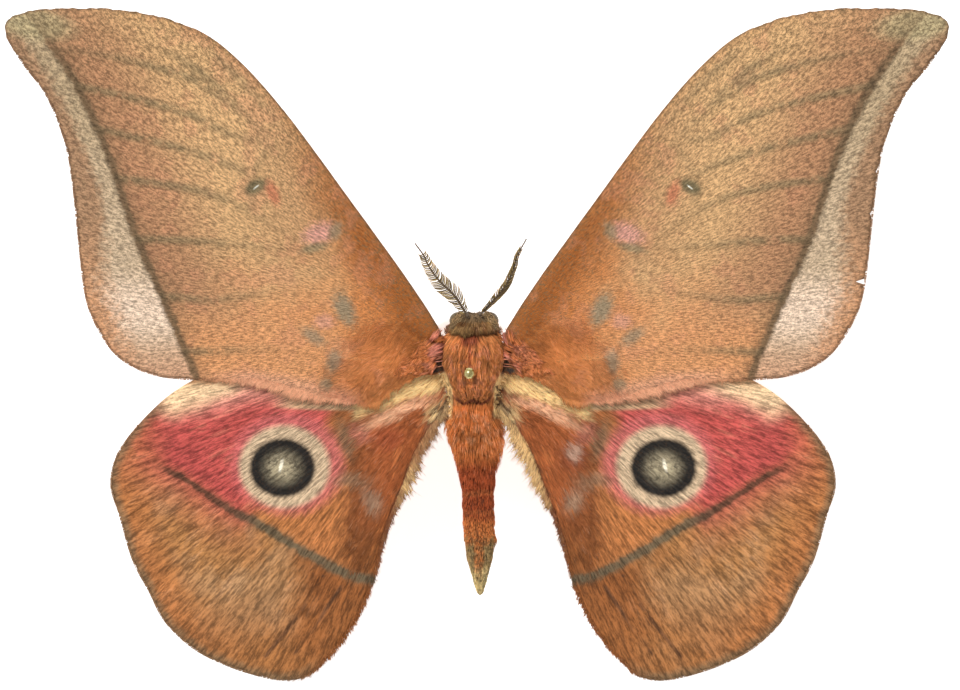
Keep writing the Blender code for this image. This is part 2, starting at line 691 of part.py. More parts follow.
def spine(name, path, radii, guide, collection):
    """A thin four-sided spine that tapers to a point, with one corner turned towards the guide."""
    bm = bmesh.new()
    rows = []
    for i, radius in enumerate(radii):
        along = (path[i + 1] - path[i]).normalized()
        up = along.cross(guide).normalized()
        across = up.cross(along)
        ring = (path[i] + up * radius, path[i] + across * radius, path[i] - up * radius,
                path[i] - across * radius)
        rows.append([bm.verts.new(q * MM) for q in ring])
    tip = bm.verts.new(path[-1] * MM)
    for a, b in zip(rows, rows[1:]):
        for k in range(4):
            bm.faces.new((a[k], a[(k + 1) % 4], b[(k + 1) % 4], b[k]))
    for k in range(4):
        bm.faces.new((rows[-1][k], rows[-1][(k + 1) % 4], tip))
    bm.faces.new(rows[0][::-1])
    bmesh.ops.triangulate(bm, faces=bm.faces)
    bmesh.ops.recalc_face_normals(bm, faces=bm.faces)
    return object_from_bmesh(name, bm, collection)


def make_tegulae(parts, material):
    """The shoulder tufts: a low pad over each forewing root with locks that sweep outwards."""
    for side, sign in (("left", -1), ("right", 1)):
        draw = random.Random(TEGULA_SEED + sign)
        bm = bmesh.new()
        bmesh.ops.create_uvsphere(bm, u_segments=14, v_segments=8, radius=MM)
        bmesh.ops.scale(bm, verts=bm.verts, vec=TEGULA_RADII)
        centre = Vector((sign * TEGULA_CENTRE[0], TEGULA_CENTRE[1], TEGULA_CENTRE[2]))
        bmesh.ops.translate(bm, verts=bm.verts, vec=centre * MM)
        pad = object_from_bmesh("tegula_" + side, bm, parts, material)
        pieces = new_collection(pad.name + "_locks")
        for offset_x, offset_y, heading, length in TEGULA_LOCKS:
            turn = math.radians(heading + draw.uniform(-5, 5))
            flow = Vector((sign * math.cos(turn), math.sin(turn), 0.0))
            root = centre + Vector((sign * offset_x, offset_y, 0.0))
            path = []
            for i, lift in enumerate(TEGULA_LOCK_LIFTS):
                p = root + flow * length * i / (len(TEGULA_LOCK_LIFTS) - 1)
                path.append(Vector((p.x, p.y, TEGULA_CENTRE[2] + lift)))
            lock("tuft", path, [UP] * len(path), TEGULA_HALF_WIDTH, LOCK_DEPTH, pieces)
        fuse(pad, pieces)


def belly_height(x, y):
    """Height of the thorax's underside at a point."""
    for front, rear in zip(THORAX_STATIONS, THORAX_STATIONS[1:]):
        if rear[0] <= y <= front[0]:
            t = (front[0] - y) / (front[0] - rear[0])
            half_width = front[2] + (rear[2] - front[2]) * t
            belly = front[3] + (rear[3] - front[3]) * t
            back = front[4] + (rear[4] - front[4]) * t
            share = (1 - (abs(x) / half_width) ** SECTION_POWER) ** (1 / SECTION_POWER)
            return (belly + back) / 2 - share * (back - belly) / 2
    raise ValueError("outside the thorax")


def margin_point(fraction_y):
    """Where the hindwing's inner margin crosses a forward distance, and its direction there."""
    inner = HINDWING_OUTLINE[INNER_MARGIN_START:INNER_MARGIN_END]
    for a, b in zip(inner, inner[1:]):
        if a[1] <= fraction_y <= b[1]:
            t = (fraction_y - a[1]) / (b[1] - a[1])
            tangent = Vector((a[0] - b[0], a[1] - b[1])).normalized()
            return Vector((a[0] + (b[0] - a[0]) * t, fraction_y)), tangent
    raise ValueError("outside the inner margin")


def add_fringe(wing, side, seed):
    """Long flat locks along the hindwing's inner margin and over its root."""
    sign = -1 if side == "left" else 1
    draw = random.Random(seed)
    pieces = new_collection(wing.name + "_fringe")
    for k in range(FRINGE_COUNT):
        share = k / (FRINGE_COUNT - 1)
        forward = FRINGE_FIRST + (FRINGE_LAST - FRINGE_FIRST) * share
        root, tangent = margin_point(forward)
        outward = Vector((-1.0, 0.0))
        root = root - outward * FRINGE_ROOT_IN
        flow = (outward * FRINGE_FLARE + tangent).normalized()
        length = FRINGE_LENGTH * draw.uniform(0.8, 1.15) * (1.0 - 0.35 * share)
        bend = draw.uniform(0.0, 0.25)
        path = []
        for i in range(len(LOCK_LIFTS)):
            t = i / (len(LOCK_LIFTS) - 1)
            p = root + flow * length * t + tangent * bend * length * t * t
            height = wing_height(p.x, p.y, LAYER_DROP) + (0.06 if k % 2 else -0.06)
            path.append(Vector((sign * p.x, p.y, height)))
        half_width = FRINGE_HALF_WIDTH * draw.uniform(0.85, 1.1)
        lock("fringe", path, [UP] * len(path), half_width, FRINGE_DEPTH, pieces)
    for root_x, root_y, heading, length, half_width in ROOT_LOCKS:
        turn = math.radians(heading + draw.uniform(-4, 4))
        flow = Vector((math.cos(turn), math.sin(turn)))
        path = []
        for i, lift in enumerate(ROOT_LOCK_LIFTS):
            p = Vector((root_x, root_y)) + flow * length * i / (len(ROOT_LOCK_LIFTS) - 1)
            height = wing_height(p.x, p.y, LAYER_DROP) + MEMBRANE / 2 + lift
            path.append(Vector((sign * p.x, p.y, height)))
        lock("root_lock", path, [UP] * len(path), half_width, FRINGE_DEPTH, pieces)
    fuse(wing, pieces)


def make_legs(parts, material):
    for pair, (root, bends) in LEGS.items():
        for side, sign in (("left", -1), ("right", 1)):
            start = Vector((root[0], root[1], belly_height(*root) - LEG_ROOT_DROP))
            knee, ankle, foot = (Vector(p) for p in bends)
            line = [start, start.lerp(knee, 0.5), knee, knee.lerp(ankle, 0.5), ankle,
                    ankle.lerp(foot, 0.5), foot]
            mirrored = [Vector((sign * p.x, p.y, p.z)) for p in line]
            tube(f"leg_{pair}_{side}", mirrored, LEG_RADII, parts, material)


def make_pin(parts, material):
    """A straight insect pin with a round head, turned about its own axis."""
    top = PIN_TIP_Z + PIN_LENGTH
    middle = top - PIN_HEAD_RADIUS
    profile = []
    start = math.asin(PIN_RADIUS / PIN_HEAD_RADIUS)
    for k in range(PIN_HEAD_TURNS + 1):
        angle = (math.pi - start) * k / PIN_HEAD_TURNS
        profile.append((PIN_HEAD_RADIUS * math.sin(angle), middle + PIN_HEAD_RADIUS * math.cos(angle)))
    profile.append((PIN_RADIUS, PIN_TIP_Z + PIN_POINT_LENGTH))
    profile.append((0.0, PIN_TIP_Z))
    bm = bmesh.new()
    verts = [bm.verts.new((r * MM, 0, z * MM)) for r, z in profile]
    for a, b in zip(verts, verts[1:]):
        bm.edges.new((a, b))
    pin = object_from_bmesh("pin", bm, parts, material)
    screw = pin.modifiers.new("turn", "SCREW")
    screw.axis = "Z"
    screw.steps = PIN_SIDES
    screw.render_steps = PIN_SIDES
    screw.use_merge_vertices = True
    screw.merge_threshold = 0.00001
    pin.location = (PIN_X * MM, 0, 0)


def make_base(parts, cutters, material):
    """A plain round base with a blind hole for the pin's foot."""
    base = add_rod("stand_base", 0.0, BASE_HEIGHT, 0, 0, BASE_RADIUS, parts, material, sides=32)
    bevel = base.modifiers.new("rim", "BEVEL")
    bevel.width = BASE_BEVEL * MM
    bevel.segments = 1
    bevel.limit_method = "ANGLE"
    apply_modifiers(base)
    hole = add_rod("foot_hole", PIN_TIP_Z - GAP, BASE_HEIGHT + 1, PIN_X, 0, PIN_RADIUS + GAP, cutters)
    cut(base, hole)


def main():
    clear_scene()
    parts = new_collection("emperor_moth")
    cutters = new_collection("cutters")
    fur = new_material("thorax_fur", (0.55, 0.20, 0.07), 0.9)
    collar_fur = new_material("collar_fur", (0.26, 0.18, 0.07), 0.9)
    head_fur = new_material("head_fur", (0.17, 0.11, 0.05), 0.85)
    abdomen_fur = new_material("abdomen_fur", (0.56, 0.22, 0.09), 0.9)
    shoulder_fur = new_material("shoulder_fur", (0.45, 0.13, 0.08), 0.9)
    forewing = new_material("forewing_scales", (0.56, 0.30, 0.16), 0.8)
    hindwing = new_material("hindwing_scales", (0.60, 0.30, 0.16), 0.8)
    eye = new_material("eye", (0.07, 0.06, 0.03), 0.25)
    horn = new_material("antenna", (0.36, 0.29, 0.14), 0.6)
    leg = new_material("leg_fur", (0.32, 0.16, 0.08), 0.85)
    brass = new_material("brass", (0.72, 0.62, 0.30), 0.25, 1.0)
    pale = new_material("pale_base", (0.85, 0.84, 0.80), 0.7)

    make_head(parts, cutters, head_fur)
    make_eyes(parts, eye)
    make_palps(parts, head_fur)
    make_antennae(parts, horn)
    make_furred_part("collar", COLLAR_STATIONS, COLLAR_ROWS, parts, collar_fur)
    thorax = make_furred_part("thorax", THORAX_STATIONS, THORAX_ROWS, parts, fur)
    cut(thorax, add_rod("pin_hole", 15.0, 36.0, PIN_X, 0, PIN_RADIUS + GAP, cutters))
    keep_largest(thorax)
    make_furred_part("metathorax", METATHORAX_STATIONS, METATHORAX_ROWS, parts, fur)
    make_furred_part("abdomen", ABDOMEN_STATIONS, ABDOMEN_ROWS, parts, abdomen_fur)
    make_tegulae(parts, shoulder_fur)
    for side in ("left", "right"):
        stretch = APEX_STRETCH_RIGHT if side == "right" else 0.0
        make_wing("forewing_" + side, side, FOREWING_OUTLINE, FOREWING_VEINS, 0.0, stretch,
                  parts, forewing)
        wing = make_wing("hindwing_" + side, side, HINDWING_OUTLINE, HINDWING_VEINS, LAYER_DROP,
                         0.0, parts, hindwing)
        add_fringe(wing, side, FRINGE_SEED)
    make_legs(parts, leg)
    make_pin(parts, brass)
    make_base(parts, cutters, pale)


main()
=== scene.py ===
"""The finish of a spread emperor moth on its pin: wings, coat, antennae, eyes, legs, pin and base.

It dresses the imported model, which is the fixed frame.  Lengths in the tables are millimetres and
become metres through MM; +X is the moth's right, +Y its head, +Z its back.
"""

import math

import bmesh
import bpy
import numpy as np
from bpy.props import FloatProperty, FloatVectorProperty, IntProperty, PointerProperty
from bpy.types import Operator, Panel, PropertyGroup
from mathutils import Matrix, Vector, geometry


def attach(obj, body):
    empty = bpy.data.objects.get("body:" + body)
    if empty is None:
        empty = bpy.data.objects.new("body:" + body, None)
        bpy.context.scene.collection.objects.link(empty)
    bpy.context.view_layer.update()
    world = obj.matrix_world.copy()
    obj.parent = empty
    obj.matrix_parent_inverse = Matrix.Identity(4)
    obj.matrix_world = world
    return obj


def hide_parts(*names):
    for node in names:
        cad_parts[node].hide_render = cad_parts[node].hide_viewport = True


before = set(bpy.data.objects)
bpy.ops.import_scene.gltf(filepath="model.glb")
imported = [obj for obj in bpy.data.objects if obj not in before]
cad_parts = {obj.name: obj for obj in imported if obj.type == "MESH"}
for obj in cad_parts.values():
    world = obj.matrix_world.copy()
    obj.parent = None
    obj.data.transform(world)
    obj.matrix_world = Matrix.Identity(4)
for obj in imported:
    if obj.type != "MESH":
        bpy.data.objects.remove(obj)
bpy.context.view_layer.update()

bl_info = {
    "name": "Emperor Moth Finish",
    "version": (1, 0, 0),
    "blender": (4, 5, 0),
    "location": "View3D > Sidebar > Moth",
    "description": "Builds the wings, coat and fittings of a pinned emperor moth",
    "category": "Object",
}

MM = 0.001

# What each side adds to its seeds, and the depth at which its wing's pattern is read.
SIDE_SEEDS = {"left": 1, "right": 2}
SIDE_DEPTHS = {"left": 7.0, "right": 31.0}

# Wing planes: the forewing's middle surface at its root, its rise outwards, and the step between pairs.
WING_Z = 28.0
WING_RISE = 0.030
WING_ROOT_SPAN = 5.0
WING_WAVE = 0.28
WING_WAVE_LENGTH = 34.0
LAYER_DROP = 1.45
APEX_START = 56.0
APEX_STRETCH = {"left": 0.0, "right": 0.075}
SIGNS = {"left": -1, "right": 1}

# Outlines run from the root along the costa to the apex and back, as (span, forward) pairs.
FOREWING_OUTLINE = (
    (4.78, 5.4), (6.1, 8.3), (10.6, 15.1), (18.9, 26.6), (27.4, 38.2), (33.1, 45.1),
    (37.9, 49.8), (42, 52.6), (46.8, 54.4), (52.8, 55.7), (59, 56.1), (65.1, 56),
    (69.8, 55.3), (71.7, 54), (71.7, 51.6), (69.1, 47.4), (65.7, 42.8), (62.9, 35.9),
    (61.6, 28.9), (60.7, 20.5), (59.8, 12.8), (58.4, 8.1), (55.6, 3.5), (52.4, 1),
    (48.2, -0.5), (42, -1.1), (34, -1.3), (28.6, -2.2), (23.6, -3.5), (19.3, -4.1),
    (14.6, -4.1), (12.6, -2.6), (10.4, -1.2), (7.6, -0.4), (4.66, 0.3),
)
HINDWING_OUTLINE = (
    (4.55, -0.9), (9, 2.6), (16, 4.4), (25, 4.6), (34, 3), (41, 0),
    (46.8, -3.4), (51.6, -8), (54.8, -12.6), (55.8, -17.3), (54.5, -21.9), (52.5, -28.8),
    (50, -33.6), (47.5, -38.3), (43.2, -42.4), (38, -45.1), (32.8, -46.8), (29, -47.4),
    (25.4, -46.6), (22.6, -44.2), (19.4, -40.4), (16.8, -35.7), (15.1, -31.1), (13.9, -26.5),
    (12.4, -22), (10.6, -17.6), (8.9, -13), (6.8, -9), (3.75, -5), (4.25, -2.8),
)
COSTA_POINTS = {"fore": 14, "hind": 7}
INNER_MARGIN = (17, 29)

# Veins as (span, forward) pairs, each from its inner end outwards.
FOREWING_VEINS = (
    ((6.6, 6.6), (14.6, 17.6), (24.6, 31.6), (33.4, 42.6), (40.2, 49.4)),
    ((5.9, 4.4), (12, 12.8), (20.5, 22.8), (28.2, 32), (34.3, 38.9), (41.3, 44.2),
     (45.9, 46.2), (55.1, 48.7), (64.4, 50), (70.4, 49.6)),
    ((34.3, 38.9), (43.6, 47.6), (54.4, 52.2), (65.1, 53.9)),
    ((31.2, 35.4), (37.4, 36.8), (45.1, 40.4), (60.2, 44), (65.8, 44.4)),
    ((33.9, 30.4), (38.6, 32.5), (46.7, 35), (57.4, 37.4), (62.8, 38.2)),
    ((34.3, 24.9), (42, 28), (54.8, 30), (61.4, 30.6)),
    ((6, 2.8), (15.9, 11), (25.1, 18.7), (31.6, 23.2), (34.3, 24.9)),
    ((26.3, 19.6), (31.3, 19.3), (44.4, 20.4), (51.7, 20.4), (60.2, 19)),
    ((18.4, 13), (24, 12.6), (30, 12.6), (40.2, 11.2), (47.9, 11.6), (58.8, 9.9)),
    ((6.4, 1.4), (12, 1.7), (18.9, 2.2), (30.5, 3.6), (44.4, 3.2), (54.8, 3.1)),
    ((31.2, 35.4), (33.9, 30.4), (34, 27.6), (34.3, 24.9)),
)
HINDWING_VEINS = (
    ((6, -0.9), (11, 1.3), (20, 2.4), (32, 1.2), (44, -3.4)),
    ((16, -4.5), (28, -5.6), (42, -9.4), (54.2, -15.4)),
    ((5.8, -2.2), (16, -4.5), (24, -7.6), (33, -11.4), (43.6, -15.6), (53.4, -22)),
    ((24.4, -16.4), (33.6, -19.6), (39, -21.9), (51.6, -27.2)),
    ((5.6, -3.6), (15, -9.4), (20.6, -13.6), (24.4, -16.4)),
    ((20.6, -13.6), (28, -21.5), (36, -28), (43.6, -32.4), (48.8, -34.4)),
    ((15, -9.4), (19, -20), (23.6, -30.7), (32.9, -45.8)),
    ((5.6, -4.6), (12.2, -14), (16.6, -24), (20.6, -33.2), (27.8, -46)),
)
HINDWING_FOLDS = (
    ((32.2, -43.9), (27.4, -38), (24.8, -34), (22.6, -30.6)),
    ((27.6, -43.6), (24, -38.4), (20.2, -32.8)),
    ((8.4, -10.6), (11.2, -17.4), (13.9, -26), (15.6, -31.6)),
)
# The dark line that crosses each wing, and the small tears in the right forewing's outer edge.
FOREWING_LINE = (
    (69, 55.6), (66.4, 52.5), (61.3, 44.8), (57.4, 36.6), (54.8, 29.7), (51.7, 20.5), (47.9, 11.7),
    (44.4, 3.5), (43, 0.1), (42.6, -2),
)
HINDWING_LINE = (
    (50, -13.2), (47.6, -15), (44.5, -16.5), (37.4, -21.3), (32.2, -23.9), (26.8, -27.2),
    (22.3, -29.7), (18.3, -31.6), (15.9, -31.9), (13.4, -31.6),
)
RIGHT_TEARS = ((31.2, 0.7, 0.35), (27.7, 0.35, 0.3), (24.6, 0.4, 0.3), (14.0, 1.5, 0.4))

# Body: stations along Y as (y, middle x, half width, belly z, back z), head to tail.
BODY_STATIONS = (
    (9, 0.15, 0.8, 26.2, 27.7), (8.75, 0.15, 1.7, 25.4, 28.6), (8.3, 0.15, 2.3, 24.9, 29.4),
    (7.8, 0.15, 2.5, 24.7, 29.9), (7, 0.12, 3.1, 24.3, 30.3), (6.5, 0.08, 3.35, 23.7, 31),
    (5.9, 0.04, 3.65, 23.1, 31.4), (5.2, 0, 4.05, 22.5, 31.5), (4.4, 0, 4.4, 21.6, 32),
    (2.8, 0, 4.45, 21, 32.4), (1, 0, 4.3, 20.8, 32.5), (-1, 0, 4.1, 20.9, 32.4),
    (-2.6, 0, 3.9, 21.2, 31.9), (-3.8, 0.05, 3.7, 21.5, 31.2), (-4.5, 0.08, 3.4, 21.8, 30.5),
    (-5.8, 0.12, 3.3, 22, 30.4), (-7.2, 0.16, 3.4, 22.1, 30.2), (-8.5, 0.2, 3.6, 22.2, 29.8),
    (-10.6, 0.3, 3.6, 22.2, 29.4), (-12.6, 0.4, 3.3, 22.4, 29.1), (-15, 0.55, 2.95, 22.7, 28.7),
    (-17.4, 0.75, 2.65, 22.9, 28.5), (-20.4, 0.8, 2.6, 23, 28.3), (-23.4, 0.92, 2.6, 23.1, 28.2),
    (-26.2, 1, 2.5, 23.3, 28.1), (-28.6, 1.02, 2.15, 23.7, 27.9), (-31, 1.06, 1.35, 24.4, 27.3),
    (-32.6, 1.08, 0.8, 24.9, 26.8), (-33.7, 1.1, 0.3, 25.4, 26.3),
)
SECTION_POWER = 2.3
SEGMENT_EDGES = (-11.6, -14.5, -17.4, -20.4, -23.4, -26.2, -28.6)
SEGMENT_STEP = 0.12
CREASE_Y = -4.55
CREASE_DEPTH = 0.3
CREASE_HALF_WIDTH = 0.35
SKIN_SIDES = 72
SKIN_STEP = 0.25
PROFILE_STEP = 0.1
PROFILE_SMOOTHING = 5

EYE_CENTRE = (2.45, 8.05, 27.3)
EYE_RADIUS = 1.35
HEAD_MIDDLE_X = 0.15

ANTENNA_ROUTES = {
    "left": ((-0.8, 8.7, 29.3), (-2.8, 11.8, 30.3), (-5.3, 14.3, 30.8), (-6.9, 16.6, 30.9),
             (-7.6, 18.1, 30.8), (-8.9, 19.9, 30.5)),
    "right": ((1, 8.9, 29.3), (3.2, 11.2, 30.4), (5.1, 13.6, 31), (6.3, 16.2, 31.1),
              (6.8, 18, 30.9), (8.2, 20.6, 30.4)),
}
ANTENNA_ROLL = {"left": 16, "right": 66}

LEGS = {
    "fore": ((1.7, 3.6), ((3.9, 6.6, 21.4), (1.9, 8.2, 19), (1.3, 5, 17.6))),
    "mid": ((2.3, 0.6), ((5.4, 1.6, 18.4), (3.7, -1.6, 16.2), (3.2, -5.2, 15.6))),
    "hind": ((2.2, -2.8), ((5, -4.6, 19.4), (3.6, -9, 18.4), (2.8, -13.4, 18))),
}

PIN_X = -0.57
PIN_RADIUS = 0.3
PIN_HEAD_RADIUS = 0.87
PIN_TIP_Z = 3.0
PIN_LENGTH = 38.0
PIN_POINT_LENGTH = 2.0
BASE_RADIUS = 9.5
BASE_HEIGHT = 6.0
BASE_BEVEL = 0.4
PIN_CLEARANCE = 0.3

# Camera: the width of its sensor, and the place in millimetres that it looks down on.
SENSOR_WIDTH = 36.0
VIEW_CENTRE = (1.078, 4.297, 29.0)

# Wings: outline, veins, folds, dark line, drop below the forewing's layer, and seed.
WINGS = {
    "fore": (FOREWING_OUTLINE, FOREWING_VEINS, (), FOREWING_LINE, 0, 71),
    "hind": (HINDWING_OUTLINE, HINDWING_VEINS, HINDWING_FOLDS, HINDWING_LINE, LAYER_DROP, 73),
}
WING_MEASURES = ("vein", "rim", "costa", "line", "fold")

# Oval marks: centre, radii, turn in degrees, softness, raggedness, colour and strength.
FOREWING_MARKS = (
    ((33.4, 28.7), (1.9, 1.05), -28, 0.5, 0.16, (0.13, 0.115, 0.06), 0.85),
    ((33.4, 28.6), (0.5, 0.13), -38, 0.4, 0.05, (0.7, 0.68, 0.56), 1),
    ((30.8, 27.7), (1.9, 0.9), 70, 0.6, 0.3, (0.5, 0.13, 0.07), 0.65),
    ((12.6, -2.6), (4.2, 1.9), -40, 0.4, 0.2, (0.5, 0.185, 0.055), 0.8),
    ((23.7, 21.5), (2.4, 1.5), -20, 0.6, 0.4, (0.64, 0.31, 0.25), 0.85),
    ((21.2, 21.9), (0.9, 1.4), 20, 0.6, 0.4, (0.27, 0.21, 0.12), 0.75),
    ((24.6, 19.2), (2.1, 0.7), -12, 0.6, 0.4, (0.25, 0.2, 0.11), 0.75),
    ((19.8, 9.8), (1.4, 2.6), -25, 0.6, 0.4, (0.26, 0.22, 0.14), 0.85),
    ((22.9, 7.9), (1.5, 1.1), 0, 0.6, 0.4, (0.62, 0.3, 0.21), 0.7),
    ((24.6, 5.6), (2, 1), 35, 0.6, 0.4, (0.28, 0.22, 0.14), 0.75),
    ((21.4, 1.8), (1.1, 1.8), 10, 0.6, 0.4, (0.29, 0.23, 0.15), 0.75),
    ((22.4, -1.7), (1.1, 1), 0, 0.6, 0.4, (0.3, 0.23, 0.14), 0.75),
    # The last two marks are painted shade: the dark hollows where the forewing's root meets the thorax.
    ((5.1, 1.6), (0.7, 1.1), 0, 0.6, 0.4, (0.04, 0.022, 0.015), 1),
    ((5.7, 0.4), (0.9, 0.5), 0, 0.6, 0.4, (0.05, 0.035, 0.03), 1),
)
HINDWING_MARKS = (
    ((19.4, -10.4), (1.3, 3), -20, 0.6, 0.28, (0.2, 0.125, 0.07), 0.75),
    ((18.2, -16.2), (3.2, 1.1), -12, 0.6, 0.28, (0.3, 0.2, 0.12), 0.6),
    ((15, -18.9), (1.2, 2.3), -20, 0.6, 0.28, (0.42, 0.31, 0.21), 0.6),
    ((16.6, -8.6), (2, 1.5), 0, 0.6, 0.28, (0.66, 0.25, 0.18), 0.6),
    ((10.3, -5.2), (5.6, 0.9), -24, 0.6, 0.28, (0.84, 0.5, 0.3), 0.85),
    ((6.3, -8), (0.9, 1.1), 0, 0.6, 0.28, (0.48, 0.22, 0.11), 0.8),
    ((4.6, -5.6), (1.5, 1.9), 0, 0.6, 0.28, (0.8, 0.6, 0.3), 0.9),
    ((4.5, -4.5), (0.6, 0.5), 0, 0.6, 0.28, (0.1, 0.05, 0.03), 0.9),
)

# Hair: rings of a tuft and of a branch, its UV patch, its waves a metre, and the unwrap of the skin.
TUFT_BANDS = 3
BRANCH_BANDS = 5
PATCH_SIZE = 0.003
WAVE_SCALE = 450.0
UNWRAP_WIDTH = 0.95
UNWRAP_START = 34.5
UNWRAP_LENGTH = 45.0
TAIL_AXIS = np.array((1.1, 0.0, 25.9))


def length(name, description, millimetres):
    """A length that a user may change."""
    return FloatProperty(name=name, description=description, default=millimetres * MM, unit="LENGTH",
                         precision=5)


def tint(name, description, default):
    """A colour that a user may change."""
    return FloatVectorProperty(name=name, description=description, default=default, subtype="COLOR")


class WingSettings(PropertyGroup):
    """Sizes and colours of the four wings."""

    membrane: length("Membrane", "Thickness of a wing between its veins", 0.26)
    vein_height: length("Vein height", "How far a vein stands out of each face", 0.13)
    vein_half_width: length("Vein half width", "From a vein's crest to its foot", 0.32)
    mesh_step: length("Mesh step", "Spacing of the points inside a wing", 0.85)
    tan: tint("Tan", "Ground colour of the forewing", (0.63, 0.375, 0.175))
    rose: tint("Rose", "Forewing colour inside its dark line", (0.43, 0.215, 0.108))
    salmon: tint("Salmon", "Rear part of the forewing", (0.65, 0.295, 0.125))
    costa: tint("Costa", "Front edge of the forewing near the body", (0.33, 0.10, 0.02))
    orange: tint("Orange", "Forewing near the body", (0.56, 0.195, 0.055))
    band: tint("Band", "Pale band outside the forewing's dark line", (0.57, 0.42, 0.275))
    line: tint("Line", "Dark line across the forewing", (0.13, 0.085, 0.045))
    crimson: tint("Crimson", "Red field of the hindwing", (0.49, 0.08, 0.068))
    ochre: tint("Ochre", "Rear half of the hindwing", (0.405, 0.18, 0.06))
    black: tint("Black", "Rim of the eyespot's dark disc", (0.018, 0.016, 0.014))


class CoatSettings(PropertyGroup):
    """Sizes and colours of the hair on body and wings."""

    bend: length("Bend", "How far a shoulder tuft's tip is bent out of line", 0.35)
    thorax_tufts: IntProperty(name="Thorax tufts", description="Number of tufts on the thorax",
                              default=12200, min=100)
    abdomen_tufts: IntProperty(name="Abdomen tufts", description="Number of tufts on the abdomen",
                               default=11500, min=100)
    orange: tint("Orange", "Hair of thorax and abdomen", (0.60, 0.225, 0.068))
    olive: tint("Olive", "Hair towards the abdomen's tip", (0.31, 0.22, 0.09))
    brown: tint("Brown", "Hair of the head", (0.12, 0.075, 0.035))
    pink: tint("Pink", "Shoulder tufts", (0.58, 0.23, 0.16))
    cream: tint("Cream", "Hair at the hindwing's root and inner margin", (0.86, 0.60, 0.27))


class AntennaSettings(PropertyGroup):
    """Sizes and colour of the feathered antennae."""

    pairs: IntProperty(name="Branch pairs", description="Pairs of side branches along an antenna",
                       default=38, min=4)
    reach: length("Reach", "Length of the longest side branch", 2.1)
    shaft_radius: length("Shaft radius", "Radius of the shaft at its root", 0.19)
    straw: tint("Straw", "Colour of the branches", (0.33, 0.235, 0.09))


class StageSettings(PropertyGroup):
    """Camera, floor and light."""

    lens: FloatProperty(name="Lens", description="Focal length of the camera in millimetres",
                        default=200.0)
    frame_width: length("Frame width", "Width seen at the height of the wings", 147.84)
    sun: FloatProperty(name="Sun", description="Strength of the main light", default=1.75)
    sky: FloatProperty(name="Sky", description="Strength of the light from all round", default=0.62)
    floor: tint("Floor", "Colour of the floor", (0.9, 0.9, 0.9))


def smooth_line(points, step, closed=False):
    """A smooth line through the points, sampled about every step."""
    points = np.asarray(points, float)
    count = len(points)
    line = []
    for i in range(count if closed else count - 1):
        p1 = points[i]
        p2 = points[(i + 1) % count]
        p0 = points[i - 1] if i or closed else 2 * p1 - p2
        p3 = points[(i + 2) % count] if i + 2 < count or closed else 2 * p2 - p1
        pieces = max(1, round(float(np.linalg.norm(p2 - p1)) / step))
        t = np.arange(pieces)[:, None] / pieces
        line.append(0.5 * (2 * p1 + (p2 - p0) * t + (2 * p0 - 5 * p1 + 4 * p2 - p3) * t ** 2
                           + (3 * p1 - p0 - 3 * p2 + p3) * t ** 3))
    if not closed:
        line.append(points[-1:])
    return np.concatenate(line)


def line_distance(places, line):
    """How far each place is from a line, and 1 or -1 for the side it is on."""
    best = np.full(len(places), np.inf)
    side = np.ones(len(places))
    for start, step in zip(line[:-1], np.diff(line, axis=0)):
        rel = places - start
        t = np.clip(rel @ step / max(float(step @ step), 1e-12), 0, 1)
        off = rel - t[:, None] * step
        gap = np.hypot(off[:, 0], off[:, 1])
        nearer = gap < best
        best = np.where(nearer, gap, best)
        side = np.where(nearer, np.where(step[0] * rel[:, 1] > step[1] * rel[:, 0], 1, -1), side)
    return best, side


def inside_outline(places, outline):
    """True for each place that lies inside the closed outline."""
    inside = np.zeros(len(places), bool)
    for a, b in zip(outline, np.roll(outline, -1, axis=0)):
        if a[1] == b[1]:
            continue
        crossing = (a[1] > places[:, 1]) != (b[1] > places[:, 1])
        at = a[0] + (b[0] - a[0]) * (places[:, 1] - a[1]) / (b[1] - a[1])
        inside ^= crossing & (places[:, 0] < at)
    return inside


def wing_height(span, forward, drop):
    """Height of a wing's middle surface, with a slight rise outwards and a soft wave."""
    wave = WING_WAVE * np.sin(2 * np.pi * (forward + 0.4 * span) / WING_WAVE_LENGTH)
    reach = np.clip((span - WING_ROOT_SPAN) / 20.0, 0, 1)
    return WING_Z - drop + WING_RISE * (span - WING_ROOT_SPAN) + wave * reach


def stretched(span, side):
    """A span with the outer end of the wing drawn out as on that side."""
    return span + np.maximum(0.0, span - APEX_START) * APEX_STRETCH[side]


def closed_loop(line):
    """A line with its first point added at its end."""
    return np.concatenate([line, line[:1]])


def unit(vectors):
    """Vectors drawn to a length of one."""
    return vectors / np.linalg.norm(vectors, axis=-1, keepdims=True)


def radians(values):
    return np.asarray(values) * math.pi / 180


def new_piece(name, mesh, material=None):
    """An object at the origin with this mesh, shaded smooth."""
    mesh.shade_smooth()
    piece = bpy.data.objects.new(name, mesh)
    bpy.context.scene.collection.objects.link(piece)
    if material:
        mesh.materials.append(material)
    return piece


def piece_from_bmesh(name, bm, material=None):
    """A piece that takes over the bmesh, with its faces outward."""
    bmesh.ops.recalc_face_normals(bm, faces=bm.faces)
    mesh = bpy.data.meshes.new(name)
    bm.to_mesh(mesh)
    bm.free()
    return new_piece(name, mesh, material)


